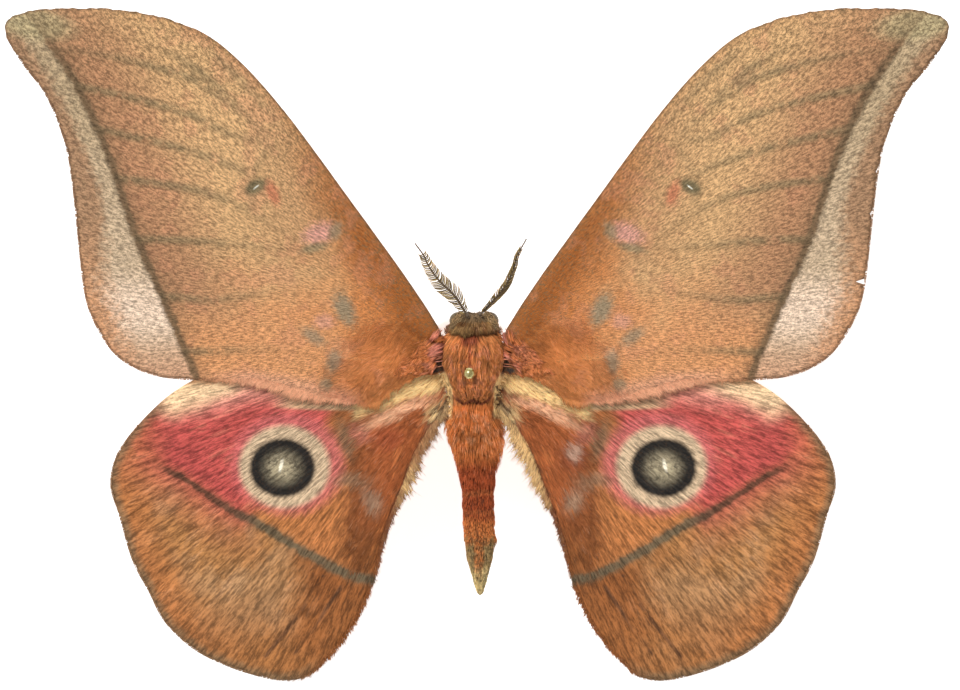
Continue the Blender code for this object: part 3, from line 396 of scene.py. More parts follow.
def ringed_piece(name, rings, ends, material=None):
    """A closed piece over rings of places; an end is drawn to its place, or is flat where that is None."""
    bm = bmesh.new()
    rows = [[bm.verts.new(p) for p in (np.asarray(ring) * MM).tolist()] for ring in rings]
    sides = len(rows[0])
    for a, b in zip(rows, rows[1:]):
        for k in range(sides):
            bm.faces.new((a[k], a[(k + 1) % sides], b[(k + 1) % sides], b[k]))
    for row, end in ((rows[0], ends[0]), (rows[-1], ends[1])):
        if end is None:
            bm.faces.new(row)
            continue
        point = bm.verts.new((np.asarray(end) * MM).tolist())
        for k in range(sides):
            bm.faces.new((row[k], row[(k + 1) % sides], point))
    return piece_from_bmesh(name, bm, material)


def swept(name, path, radii, sides, material):
    """A round tube along a path of points with a radius at each, closed at both ends."""
    ahead = unit(np.gradient(path, axis=0))
    guide = np.cross(ahead[0], (0.3, 0.2, 0.93))
    turn = 2 * math.pi * np.arange(sides)[:, None] / sides
    rings = []
    for place, direction, radius in zip(path, ahead, radii):
        guide = unit(guide - direction * (guide @ direction))
        other = np.cross(direction, guide)
        rings.append(place + radius * (np.cos(turn) * guide + np.sin(turn) * other))
    ends = (path[0] - ahead[0] * radii[0] * 0.4, path[-1] + ahead[-1] * radii[-1] * 0.4)
    return ringed_piece(name, rings, ends, material)


def turned_rings(profile, sides):
    """Rings about upright axes from rows of a radius, a height and the axis's place along X."""
    turn = 2 * math.pi * np.arange(sides) / sides
    return [np.stack([x + radius * np.cos(turn), radius * np.sin(turn), z + 0 * turn], axis=1)
            for radius, z, x in profile]


def store(mesh, name, values):
    """Keep one number or one vector for each point of a mesh."""
    values = np.ascontiguousarray(values, np.float32)
    kind, field = ("FLOAT_VECTOR", "vector") if values.ndim == 2 else ("FLOAT", "value")
    mesh.attributes.new(name, kind, "POINT").data.foreach_set(field, values.ravel())


def settle(piece, slot, *nodes):
    """The piece rides on the body and stands for the CAD nodes named, which it hides; its slot is not used.
    """
    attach(piece, "root")
    if nodes:
        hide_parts(*nodes)


class Value:
    """A value in a node tree, which adds, takes away and multiplies as a plain number does."""

    def __init__(self, maker, socket):
        self.maker = maker
        self.socket = socket

    def __add__(self, other):
        return self.maker.math("ADD", self, other)

    def __sub__(self, other):
        return self.maker.math("SUBTRACT", self, other)

    def __rsub__(self, other):
        return self.maker.math("SUBTRACT", other, self)

    def __mul__(self, other):
        return self.maker.math("MULTIPLY", self, other)

    def __abs__(self):
        return self.maker.math("ABSOLUTE", self)


class Maker:
    """Adds nodes to one tree and wires them, so that a finish reads as a list of layers."""

    def __init__(self, tree):
        self.tree = tree

    def feed(self, socket, value):
        if isinstance(value, Value):
            value = value.socket
        if isinstance(value, bpy.types.NodeSocket):
            self.tree.links.new(value, socket)
        elif socket.type == "RGBA" and len(value) == 3:
            socket.default_value = (*value, 1.0)
        else:
            socket.default_value = value

    def node(self, kind, values=(), named=None, **settings):
        """A node with its settings made and its inputs fed, first those in order, then the named ones."""
        made = self.tree.nodes.new(kind)
        for name, value in settings.items():
            setattr(made, name, value)
        for socket, value in zip(made.inputs, values):
            self.feed(socket, value)
        for name, value in (named or {}).items():
            self.feed(made.inputs[name], value)
        return made

    def output(self, socket, *given, **settings):
        """One output, by its name or number, of a new node."""
        return Value(self, self.node(*given, **settings).outputs[socket])

    def math(self, operation, a, b=0.0):
        return self.output(0, "ShaderNodeMath", (a, b), operation=operation)

    def ease(self, value, low, high):
        """0 below low, 1 above high and smooth between; the other way round where low is larger."""
        return self.output(0, "ShaderNodeMapRange", (value, low, high), interpolation_type="SMOOTHSTEP")

    def share(self, *parts):
        """The product of the parts; a part given as (value, none, full) is eased first."""
        found = None
        for part in parts:
            part = self.ease(*part) if isinstance(part, tuple) else part
            found = part if found is None else self.math("MULTIPLY", found, part)
        return found

    def layers(self, colour, *rows):
        """Colours laid over a colour; each row is a colour and the parts of its share."""
        for laid, *parts in rows:
            colour = self.mix(self.share(*parts), colour, laid)
        return colour

    def scaled(self, value, share):
        return self.output(0, "ShaderNodeVectorMath", (value,), {"Scale": share}, operation="SCALE")

    def vector(self, operation, *values):
        socket = "Value" if operation == "LENGTH" else "Vector"
        return self.output(socket, "ShaderNodeVectorMath", values, operation=operation)

    def split(self, place):
        return [Value(self, axis) for axis in self.node("ShaderNodeSeparateXYZ", (place,)).outputs]

    def join(self, x, y, z=0.0):
        return self.output(0, "ShaderNodeCombineXYZ", (x, y, z))

    def place(self):
        return self.output("Object", "ShaderNodeTexCoord")

    def noise(self, place, scale, detail=2.0, roughness=0.5, kind="Fac"):
        values = {"Vector": place, "Scale": scale, "Detail": detail, "Roughness": roughness}
        return self.output(kind, "ShaderNodeTexNoise", (), values)

    def mix(self, share, low, high):
        made = self.node("ShaderNodeMix", data_type="RGBA")
        for number, value in ((0, share), (6, low), (7, high)):
            self.feed(made.inputs[number], value)
        return Value(self, made.outputs[2])

    def attribute(self, name, kind="Fac"):
        return self.output(kind, "ShaderNodeAttribute", attribute_name=name)

    def group(self, build, **values):
        """The outputs of a shared group that is placed here with its own values."""
        tree = shared(build)
        named = {name.replace("_", " "): value for name, value in values.items()}
        made = self.node("ShaderNodeGroup", (), named, node_tree=tree)
        return {socket.name: Value(self, socket) for socket in made.outputs}


def shared(build):
    """The node group that a function builds, found by the function's name once it is there."""
    return bpy.data.node_groups.get(build.__name__) or build()


def new_group(name, inputs, outputs, kind="ShaderNodeTree"):
    """The maker of an empty node group with named sockets, its inputs and its end node's sockets."""
    m = Maker(bpy.data.node_groups.new(name, kind))
    for label, socket_kind, value in inputs:
        socket = m.tree.interface.new_socket(label, in_out="INPUT", socket_type="NodeSocket" + socket_kind)
        if value is not None:
            socket.default_value = value
    for label, socket_kind in outputs:
        m.tree.interface.new_socket(label, in_out="OUTPUT", socket_type="NodeSocket" + socket_kind)
    given = {socket.name: Value(m, socket) for socket in m.node("NodeGroupInput").outputs}
    return m, given, m.node("NodeGroupOutput").inputs


def about_root(m, s, f):
    """The angle and the distance of a place on a wing as seen from the wing's root."""
    outward = s - 2.0
    backward = 6.0 - f
    return m.math("ARCTAN2", outward, backward), m.vector("LENGTH", m.join(outward, backward))


def scale_grain():
    """Powder of scales in short strokes laid out by the wing's root, dark flecks and a height."""
    m, given, made = new_group(
        "scale_grain",
        (("Colour", "Color", (0.5, 0.3, 0.2, 1)), ("Place", "Vector", (0, 0, 0)), ("Fan", "Float", 150.0),
         ("Reach", "Float", 1.0), ("Fleck colour", "Color", (0.1, 0.08, 0.05, 1)), ("Flecks", "Float", 0.4)),
        (("Colour", "Color"), ("Height", "Float")),
    )
    s, f, side = m.split(given["Place"])
    angle, radius = about_root(m, s, f)
    strokes = m.noise(m.join(angle * given["Fan"], radius * given["Reach"], side), 1.0, 4.0, 0.85)
    grain = m.noise(given["Place"], 3.2, 3.0, 0.75)
    lit = m.scaled(given["Colour"], m.ease(strokes, 0.38, 0.62) + 0.52)
    m.feed(made["Colour"], m.layers(lit, (given["Fleck colour"], (grain, 0.50, 0.36), given["Flecks"])))
    m.feed(made["Height"], grain + strokes)
    return m.tree


def soft_spot():
    """A mask that is 1 inside a turned oval and 0 outside, with a soft and ragged edge."""
    m, given, made = new_group(
        "soft_spot",
        (("Place", "Vector", (0, 0, 0)), ("Centre", "Vector", (0, 0, 0)), ("Radii", "Vector", (1, 1, 1)),
         ("Turn", "Float", 0.0), ("Softness", "Float", 0.3), ("Ragged", "Float", 0.1)),
        (("Mask", "Float"), ("Distance", "Float")),
    )
    off = m.vector("SUBTRACT", given["Place"], given["Centre"])
    back = {"Vector": off, "Angle": given["Turn"] * (-math.pi / 180)}
    turned = m.output(0, "ShaderNodeVectorRotate", (), back, rotation_type="Z_AXIS")
    rough = m.noise(given["Place"], 1.6, 3.0, 0.7) - 0.5
    distance = m.vector("LENGTH", m.vector("DIVIDE", turned, given["Radii"])) + rough * given["Ragged"] * 4.0
    m.feed(made["Distance"], distance)
    m.feed(made["Mask"], m.ease(distance, given["Softness"] + 1.0, 1.0 - given["Softness"]))
    return m.tree


def spot(m, place, centre, radii, turn, softness, ragged, kind="Mask"):
    """A soft oval mask on a wing, or the distance from its centre measured in radii."""
    return m.group(soft_spot, Place=place, Centre=(*centre, 0.0), Radii=(*radii, 1.0), Turn=turn,
                   Softness=softness, Ragged=ragged)[kind]


def spotted(m, colour, place, marks):
    """A table's oval marks laid over a colour."""
    for centre, radii, turn, softness, ragged, laid, strength in marks:
        colour = m.layers(colour, (laid, spot(m, place, centre, radii, turn, softness, ragged), strength))
    return colour


def new_material(name, roughness, specular=0.5, metallic=0.0):
    """A material, the inputs of its Principled shader and a maker for its tree."""
    material = bpy.data.materials.new(name)
    material.use_nodes = True
    shader = material.node_tree.nodes["Principled BSDF"].inputs
    shader["Roughness"].default_value = roughness
    shader["Specular IOR Level"].default_value = specular
    shader["Metallic"].default_value = metallic
    return material, shader, Maker(material.node_tree)


def add_bump(m, shader, height, strength, millimetres):
    """Feed a height through a Bump node into the shader."""
    values = {"Height": height, "Strength": strength, "Distance": millimetres * MM}
    m.feed(shader["Normal"], m.output(0, "ShaderNodeBump", (), values))


def wing_edge(outline, torn, seed):
    """A wing's edge, finely sampled, with a slight wobble and, where torn, its small tears."""
    edge = smooth_line(outline, 0.5, closed=True)
    draw = np.random.default_rng(seed)
    ahead = np.roll(edge, -1, axis=0) - np.roll(edge, 1, axis=0)
    outward = unit(np.stack([ahead[:, 1], -ahead[:, 0]], axis=1))
    turn = np.linspace(0, 2 * math.pi, len(edge), endpoint=False)
    wobble = np.zeros(len(edge))
    for waves, size in ((23, 0.05), (41, 0.05), (87, 0.05), (151, 0.04)):
        wobble += size * np.sin(waves * turn + draw.uniform(0, 2 * math.pi))
    front = line_distance(edge, smooth_line(outline[:8], 1.0))[0]
    edge = edge + outward * (wobble * np.clip(front / 2.0, 0.1, 1))[:, None]
    if torn:
        for forward, depth, half_width in RIGHT_TEARS:
            near = (np.abs(edge[:, 1] - forward) < half_width) & (edge[:, 0] > 50)
            edge[near, 0] -= depth * (1 - np.abs(edge[near, 1] - forward) / half_width)
    return edge


def vein_lines(crest, half_width):
    """A vein's crest and its two feet as lines of places."""
    ahead = np.zeros_like(crest)
    ahead[1:-1] = crest[2:] - crest[:-2]
    ahead[0] = crest[1] - crest[0]
    ahead[-1] = crest[-1] - crest[-2]
    across = np.stack([-ahead[:, 1], ahead[:, 0]], axis=1)
    across *= half_width / np.linalg.norm(ahead, axis=1)[:, None]
    return crest, (crest + across)[1:-1], (crest - across)[1:-1]


def nearest_line(places, lines):
    """Distance from each place to the nearest of several lines."""
    return np.min([line_distance(places, line)[0] for line in lines], axis=0)


def wing_places(edge, crests, settings, seed):
    """Places and triangles of one wing laid flat, with edges along its margin and its veins."""
    step = settings.mesh_step / MM
    foot = settings.vein_half_width / MM
    points = [Vector(p) for p in edge]
    links = []
    for crest in crests:
        for line in vein_lines(crest, foot):
            first = len(points)
            points.extend(Vector(p) for p in line)
            links.extend((first + i, first + i + 1) for i in range(len(line) - 1))
    draw = np.random.default_rng(seed)
    low = edge.min(axis=0)
    high = edge.max(axis=0)
    across, along = np.meshgrid(np.arange(low[0], high[0], step), np.arange(low[1], high[1], step * 0.866))
    across[1::2] += step / 2
    grid = np.stack([across.ravel(), along.ravel()], axis=1)
    grid += draw.uniform(-0.15, 0.15, grid.shape) * step
    grid = grid[inside_outline(grid, edge)]
    clear = line_distance(grid, closed_loop(edge))[0] > 0.45 * step
    clear &= nearest_line(grid, crests) > foot + 0.35 * step
    points.extend(Vector(p) for p in grid[clear])
    outer = list(range(len(edge)))
    flat, _, faces, _, _, _ = geometry.delaunay_2d_cdt(points, links, [outer], 1, 0.01)
    return np.array([tuple(p) for p in flat]), [tuple(corners) for corners in faces]


def wing_piece(pair, side, material):
    """One wing: two sheets with veins, soft sag between them and a closed rim."""
    settings = bpy.context.scene.moth_wings
    outline, veins, folds, line, drop, seed = WINGS[pair]
    edge = wing_edge(outline, (pair, side) == ("fore", "right"), seed)
    crests = [smooth_line(vein, 0.8) for vein in veins]
    places, faces = wing_places(edge, crests, settings, seed)
    vein = nearest_line(places, crests)
    rim = line_distance(places, closed_loop(edge))[0]
    costa = line_distance(places, smooth_line(outline[:COSTA_POINTS[pair]], 0.8))[0]
    off, on_side = line_distance(places, smooth_line(line, 0.8))
    fold = np.full(len(places), 9.0)
    if folds:
        fold = nearest_line(places, [smooth_line(crease, 0.8) for crease in folds])

    foot = settings.vein_half_width / MM
    crest_share = np.clip(1 - vein / foot, 0, 1) * np.clip((places[:, 0] - 17) / 9, 0.12, 1)
    half = settings.membrane / MM / 2 * (0.55 + 0.45 * np.clip(rim / 0.5, 0, 1))
    half += settings.vein_height / MM * crest_share * np.clip(rim / 1.0, 0.2, 1)
    span = stretched(places[:, 0], side) if pair == "fore" else places[:, 0]
    middle = wing_height(span, places[:, 1], drop)
    draw = np.random.default_rng(seed + 1)
    ripple = np.zeros(len(places))
    for _ in range(9):
        heading = draw.uniform(0, math.pi)
        across = places @ np.array([math.cos(heading), math.sin(heading)])
        ripple += 0.012 * np.sin(across * draw.uniform(0.5, 2.2) + draw.uniform(0, 6.3))
    middle += ripple - 0.10 * (1 - np.exp(-vein / 1.6)) - 0.26 * np.exp(-(fold / 0.55) ** 2) + 0.05

    sign = SIGNS[side]
    count = len(places)
    top = np.stack([sign * span, places[:, 1], middle + half], axis=1)
    under = np.stack([sign * span, places[:, 1], middle - half], axis=1)
    used = dict.fromkeys((a, b) for corners in faces for a, b in zip(corners, corners[1:] + corners[:1]))
    border = [(b, a) if sign > 0 else (a, b) for a, b in used if (b, a) not in used]
    sides = [(a, b, b + count, a + count) for a, b in border]
    up = faces if sign > 0 else [corners[::-1] for corners in faces]
    down = [tuple(i + count for i in corners[::-1]) for corners in up]
    mesh = bpy.data.meshes.new(f"wing_{pair}_{side}")
    mesh.from_pydata((np.concatenate([top, under]) * MM).tolist(), [], up + down + sides)
    mesh.update()
    both = np.concatenate([places, places])
    store(mesh, "place", np.column_stack([both, np.full(2 * count, SIDE_DEPTHS[side])]))
    for label, values in zip(WING_MEASURES, (vein, rim, costa, off * on_side, fold)):
        store(mesh, label, np.concatenate([values, values]))
    return new_piece(f"wing_{pair}_{side}", mesh, material)


def skin_profile():
    """The body's stations smoothed along its length, as columns of y and four measures."""
    stations = np.array(BODY_STATIONS)[::-1]
    ys = np.arange(stations[0, 0], stations[-1, 0] + 1e-6, PROFILE_STEP)
    columns = [ys]
    pad = PROFILE_SMOOTHING
    weights = np.hanning(2 * pad + 1)
    weights /= weights.sum()
    for k in range(1, 5):
        values = np.interp(ys, stations[:, 0], stations[:, k])
        ends = np.concatenate([np.full(pad, values[0]), values, np.full(pad, values[-1])])
        columns.append(np.convolve(ends, weights, mode="valid"))
    return columns


SKIN_PROFILE = skin_profile()


def skin_point(y, angle, lift=0.0):
    """Points on the body's skin and the directions out of it, at angles from the middle of the back."""
    y = np.asarray(y, float)
    angle = np.asarray(angle, float)
    ys, *measures = SKIN_PROFILE
    middle, width, belly, back = (np.interp(y, ys, values) for values in measures)
    height = back - belly
    long_hair = np.clip((y + 18.5) / 2.5, 0, 1)
    back = back - np.minimum(0.16 * height, 0.28 + 0.32 * long_hair)
    belly = belly + np.minimum(0.1 * height, 0.35)
    width = width - np.minimum(0.18 * width, 0.35)
    for edge in SEGMENT_EDGES:
        behind = SEGMENT_STEP * np.clip((y - edge) / 2.6, 0, 1) * (y < edge + 2.6) * (y < -9)
        width = width - behind
        back = back - behind
    back = back - CREASE_DEPTH * np.exp(-((y - CREASE_Y) / CREASE_HALF_WIDTH) ** 2)
    half_height = (back - belly) / 2
    power = 2 / SECTION_POWER
    s = np.sin(angle)
    c = np.cos(angle)
    x = np.sign(s) * np.abs(s) ** power
    z = np.sign(c) * np.abs(c) ** power
    point = np.stack([middle + x * width, y + 0 * x, (belly + back) / 2 + z * half_height], axis=-1)
    steep = SECTION_POWER - 1
    outward = unit(np.stack([np.sign(x) * np.abs(x) ** steep / width, 0 * x,
                             np.sign(z) * np.abs(z) ** steep / half_height], axis=-1))
    return point + outward * np.asarray(lift)[..., None], outward


def body_skin_piece(material):
    """One closed skin from the face to the tip of the abdomen."""
    first = BODY_STATIONS[0][0] - 0.05
    last = BODY_STATIONS[-1][0] + 0.05
    ys = np.linspace(first, last, round((first - last) / SKIN_STEP) + 1)
    angles = np.linspace(0, 2 * math.pi, SKIN_SIDES, endpoint=False)
    rings, _ = skin_point(*np.meshgrid(ys, angles, indexing="ij"))
    ends = (rings[0].mean(axis=0) + (0, 0.12, 0), rings[-1].mean(axis=0) - (0, 0.12, 0))
    return ringed_piece("body_skin", rings, ends, material)


def unit_shape(name, rings):
    """A closed shape one unit long over its rings, with what each planted copy of it carries."""
    rings = np.array(rings)
    bands, sides, _ = rings.shape
    shape = ringed_piece(name, rings / MM, (None, np.array((0.0, 1.0, 0.0)) / MM))
    along = np.append(np.repeat(rings[:, 0, 1], sides), 1.0)
    across = np.append(np.tile(np.arange(sides) / (sides - 1), bands), 0.5)
    store(shape.data, "along", along)
    store(shape.data, "patch", np.stack([across, along, 0 * along], axis=1))
    shape.hide_render = True
    return shape


def tuft_shape():
    """A flat three-sided tuft one unit long that tapers to a point."""
    rings = []
    for t in np.arange(TUFT_BANDS) / TUFT_BANDS:
        half = 0.5 * (0.62 + 1.5 * t - 1.95 * t ** 2)
        rise = 4 * t * (1 - t)
        rings.append([(-half, t, rise - 0.05), (half, t, rise - 0.05), (0.0, t, rise + 0.35 * (1 - t))])
    return unit_shape("tuft_shape", rings)


def branch_shape():
    """A thin four-sided branch one unit long, bowed and tapering."""
    rings = []
    for t in np.arange(BRANCH_BANDS) / BRANCH_BANDS:
        half = 0.5 - 0.3 * t
        bow = 4 * t * (1 - t) * 0.8
        rings.append([(-half, t, bow), (0.0, t, bow + half * 0.9), (half, t, bow),
                      (0.0, t, bow - half * 0.9)])
    return unit_shape("branch_shape", rings)


def grow_tufts():
    """Geometry nodes that plant one tuft on each root, bend it softly and lay out its UV patch."""
    m, given, made = new_group(
        "grow_tufts",
        (("Geometry", "Geometry", None), ("Tuft", "Object", None), ("Material", "Material", None),
         ("Bend", "Float", 0.0), ("Wave", "Float", 0.0)),
        (("Geometry", "Geometry"),), "GeometryNodeTree",
    )

    def carried(label, kind="FLOAT_VECTOR"):
        return m.output("Attribute", "GeometryNodeInputNamedAttribute", (label,), data_type=kind)

    tuft = m.output("Geometry", "GeometryNodeObjectInfo", (given["Tuft"],))
    turn = m.output(0, "FunctionNodeAxesToRotation", (carried("flow"), carried("out")),
                    primary_axis="Y", secondary_axis="Z")
    values = {"Points": given["Geometry"], "Instance": tuft, "Rotation": turn, "Scale": carried("size")}
    planted = m.output(0, "GeometryNodeInstanceOnPoints", (), values)
    real = m.output(0, "GeometryNodeRealizeInstances", (planted,))
    wave = m.noise(m.output(0, "GeometryNodeInputPosition"), given["Wave"], kind="Color")
    along = carried("along", "FLOAT")
    push = m.scaled(m.vector("SUBTRACT", wave, (0.5, 0.5, 0.5)), along * along * given["Bend"])
    moved = m.output(0, "GeometryNodeSetPosition", (real,), {"Offset": push})
    mapped = m.node("GeometryNodeStoreNamedAttribute", (moved,), {"Name": "OFBake"}, data_type="FLOAT2",
                    domain="CORNER")
    m.feed(next(socket for socket in mapped.inputs if socket.name == "Value" and socket.enabled),
           m.vector("ADD", carried("root_uv"), m.scaled(carried("patch"), PATCH_SIZE)))
    m.feed(made[0], m.output(0, "GeometryNodeSetMaterial", (mapped.outputs[0],),
                             {"Material": given["Material"]}))
    return m.tree


def grow(name, tuft, material, roots, bend=None):
    """Plant tufts on the roots and turn the result into a plain mesh piece."""
    chord = roots["tip"] - roots["root"]
    reach = np.linalg.norm(chord, axis=1)
    mesh = bpy.data.meshes.new(name + "_roots")
    mesh.from_pydata((roots["root"] * MM).tolist(), [], [])
    piece = bpy.data.objects.new(name, mesh)
    bpy.context.scene.collection.objects.link(piece)
    spare = {"flow": chord / reach[:, None], "out": roots["out"],
             "size": np.stack([roots["width"], reach, roots["height"]], axis=1) * MM,
             "root_uv": np.column_stack([roots["uv"], np.zeros(len(reach))])}
    kept = {label: roots[label] for label in ("place", "shade", "tone") + WING_MEASURES if label in roots}
    for label, values in {**spare, **kept}.items():
        store(mesh, label, values)
    modifier = piece.modifiers.new("grow", "NODES")
    modifier.node_group = shared(grow_tufts)
    values = {"Tuft": tuft, "Material": material, "Wave": WAVE_SCALE,
              "Bend": bpy.context.scene.moth_coat.bend if bend is None else bend * MM}
    for item in modifier.node_group.interface.items_tree:
        if item.item_type == "SOCKET" and item.in_out == "INPUT" and item.name in values:
            modifier[item.identifier] = values[item.name]
    depsgraph = bpy.context.evaluated_depsgraph_get()
    grown = bpy.data.meshes.new_from_object(piece.evaluated_get(depsgraph))
    piece.modifiers.clear()
    piece.data = grown
    bpy.data.meshes.remove(mesh)
    for label in (*spare, "patch"):
        attribute = grown.attributes.get(label)
        if attribute:
            grown.attributes.remove(attribute)
    grown.name = name
    grown.shade_smooth()
    if not grown.polygons or "OFBake" not in grown.uv_layers:
        raise RuntimeError(name + " grew no tufts or no UV map")
    return piece


def nearest_index(places, centres):
    """For each place the index of the nearest centre."""
    found = np.empty(len(places), int)
    for start in range(0, len(places), 2000):
        part = places[start:start + 2000]
        gap = ((part[:, None, :] - centres[None, :, :]) ** 2).sum(axis=2)
        found[start:start + 2000] = gap.argmin(axis=1)
    return found


def value_noise(across, along, seed):
    """Smooth random values from 0 to 1 on a plane, one cell a unit across."""
    table = np.random.default_rng(seed).uniform(0, 1, (256, 256))
    i = np.floor(across).astype(int)
    j = np.floor(along).astype(int)
    u = across - i
    v = along - j
    u = u * u * (3 - 2 * u)
    v = v * v * (3 - 2 * v)
    low = table[i % 256, j % 256] * (1 - u) + table[(i + 1) % 256, j % 256] * u
    high = table[i % 256, (j + 1) % 256] * (1 - u) + table[(i + 1) % 256, (j + 1) % 256] * u
    return low * (1 - v) + high * v


def clumped(places, tips, draw, per_clump, pull):
    """Tips drawn together in clumps, and a lightness that runs in strands along the hair."""
    count = len(places)
    chosen = draw.choice(count, max(1, count // per_clump), replace=False)
    mine = nearest_index(places, places[chosen])
    target = tips[chosen][mine]
    flow = tips - places
    tips = tips + (target - tips) * (pull * draw.uniform(0.6, 1.1, count))[:, None]
    reach = np.linalg.norm(flow, axis=1)
    mean = unit(flow.mean(axis=0))
    heading = 0.5 * mean + 0.5 * flow / reach[:, None]
    across = places[:, 0] * heading[:, 1] - places[:, 1] * heading[:, 0]
    along = places[:, 0] * mean[0] + places[:, 1] * mean[1]
    strand = value_noise(across / 0.24 + 60, along / 2.6 + 60, int(draw.integers(1000)))
    clump = draw.uniform(0, 1, len(chosen))[mine]
    shade = 0.55 * strand + 0.22 * clump + 0.23 * draw.uniform(0, 1, count)
    return tips, np.clip((shade - 0.5) * 1.35 + 0.5, 0, 1)


def measure(given, y, angle):
    """A measure of the coat: a number, values at places along the body, or a function of the place."""
    if callable(given):
        return given(y, angle)
    return np.interp(y, *given) if isinstance(given, tuple) else given + 0 * y


def skin_uv(y, angle):
    """Places on the unwrap of the skin."""
    return np.stack([(angle / (2 * math.pi) + 0.5) * UNWRAP_WIDTH, (y + UNWRAP_START) / UNWRAP_LENGTH],
                    axis=1)


def body_tufts(first, last, count, seed, reach, width, lift, lean=(0, 1, 1), spread=math.pi,
               per_clump=16, pull=0.7, rear_limit=-34.2, girth=3.8, puff=0.12, tone=0.0):
    """Tufts that lie back along the body between two places along its length.

    The lean is an angle in degrees, the most that it is multiplied by on either side, and the angle
    round the body at which it counts in full.
    """
    draw = np.random.default_rng(seed)
    y = draw.uniform(last, first, count)
    angle = draw.uniform(-spread, spread, count)
    reach = measure(reach, y, angle) * draw.uniform(0.75, 1.15, count)
    degrees, most, full = lean
    aside = radians(measure(degrees, y, angle)) * np.clip(angle / full, -most, most)
    turn = aside + draw.normal(0, 0.10, count)
    places = np.stack([y, angle * girth], axis=1)
    tips = places + np.stack([-reach * np.cos(turn), reach * np.sin(turn)], axis=1)
    tips, shade = clumped(places, tips, draw, per_clump, pull)
    tips[:, 0] = np.maximum(tips[:, 0], rear_limit - draw.uniform(0, 0.3, count) + 0.15)
    rise = measure(lift, y, angle) * draw.uniform(0.35, 1.15, count)
    root, _ = skin_point(y, angle, -0.06)
    tip, _ = skin_point(tips[:, 0], tips[:, 1] / girth, rise)
    narrow = np.interp(tips[:, 0], (-34.2, -33.2, -32.2), (0.02, 0.5, 1.0))
    for axis in (0, 2):
        tip[:, axis] = TAIL_AXIS[axis] + (tip[:, axis] - TAIL_AXIS[axis]) * narrow
    middle, out = skin_point((y + tips[:, 0]) / 2, (angle + tips[:, 1] / girth) / 2, rise * 0.7 + 0.05)
    sag = ((middle - (root + tip) / 2) * out).sum(axis=1)
    return dict(root=root, tip=tip, out=out, width=width * draw.uniform(0.7, 1.3, count),
                height=np.maximum(sag, 0.02) + puff * draw.uniform(0.3, 1.2, count),
                uv=skin_uv(y, angle), shade=shade, tone=np.full(count, tone))


def kept_roots(roots, keep):
    return {label: values[keep] for label, values in roots.items()}


def joined_roots(*sets):
    return {label: np.concatenate([roots[label] for roots in sets]) for label in sets[0]}


def side_roots(roots, low, high):
    """The roots that lie between two angles from the middle of the back, in degrees."""
    side = np.abs(roots["uv"][:, 0] / UNWRAP_WIDTH - 0.5) * 360
    return kept_roots(roots, (side > low) & (side < high))


def eye_centre(sign):
    return np.array((HEAD_MIDDLE_X + sign * EYE_CENTRE[0], EYE_CENTRE[1], EYE_CENTRE[2]))


def thorax_rear(roots):
    """Where the thorax's hair ends, in a V across the back."""
    return np.interp(np.abs(roots["root"][:, 0]), (0, 0.8, 1.9, 3.1, 3.45, 4.0, 4.4),
                     (-4.4, -4.5, -4.3, -3.2, -1.8, 0.1, 2.3))


def thorax_roots():
    """Hair of the back that parts in the middle in front and sweeps inwards behind."""
    def lift(y, angle):
        proud = np.interp(y, (-1.0, 1.5, 4.6, 5.6), (0.0, 0.3, 0.5, 0.1)) * np.sin(np.abs(angle)) ** 4
        return np.interp(y, (-4.3, -2.0, 4.0, 5.0), (0.55, 0.65, 0.6, 0.4)) + proud

    lean = ((-4.2, -2.4, -0.5, 1.3, 3.0, 5.0), (-48, -40, -20, 4, 24, 42))
    roots = body_tufts(6.1, -4.6, bpy.context.scene.moth_coat.thorax_tufts, 3,
                       ((-4.6, -2.5, 1.0, 5.0), (0.5, 1.4, 2.4, 2.2)), 0.095, lift,
                       (lean, 1, radians(60)), rear_limit=-4.9, per_clump=20, pull=0.45)
    return kept_roots(roots, roots["root"][:, 1] > thorax_rear(roots))


def flank_roots():
    """Short hair that stands out of the body's sides under the wings; where it lies in the hollows, its dark
    colour is painted shade.
    """
    roots = body_tufts(6.2, -6.5, 4000, 9, 0.7, 0.14, ((-2.5, -0.5, 1.0), (1.3, 2.1, 1.3)),
                       per_clump=8, pull=0.3, girth=3.2)
    return side_roots(roots, 72, 108)


def collar_roots():
    """The dark ruff behind the head, with a ragged rear edge."""
    roots = body_tufts(8.0, 5.9, 6000, 5, 1.1, 0.085, 0.6, (8, 1, radians(60)), spread=radians(100),
                       per_clump=9, pull=0.55, girth=3.2)
    x = roots["root"][:, 0]
    rear = 6.0 + 0.9 * value_noise(x * 1.9 + 9, 0 * x, 4) + 0.05 * x ** 2
    rear = rear + 3 * np.maximum(np.abs(x) - 3.1, 0)
    roots = kept_roots(roots, roots["root"][:, 1] > rear)
    patches = value_noise(roots["root"][:, 0] * 2.2, roots["root"][:, 1], 6)
    roots["tone"] = np.clip(1.8 * patches - 0.4, 0, 1)
    return roots


def metathorax_roots():
    """Hair behind the thorax that joins it to the abdomen."""
    def lift(y, angle):
        return np.interp(y, (-5, -3, 0), (0.4, 0.2, 0.1)) + 0.25 * np.sin(np.abs(angle))

    roots = body_tufts(2.6, -8.0, 10500, 7, 2.1, 0.11, lift, (((-5, -2), (9, 0)), 1.2, 1),
                       per_clump=22, pull=0.5, girth=3.1)
    return kept_roots(roots, roots["root"][:, 1] < thorax_rear(roots) + 0.3)


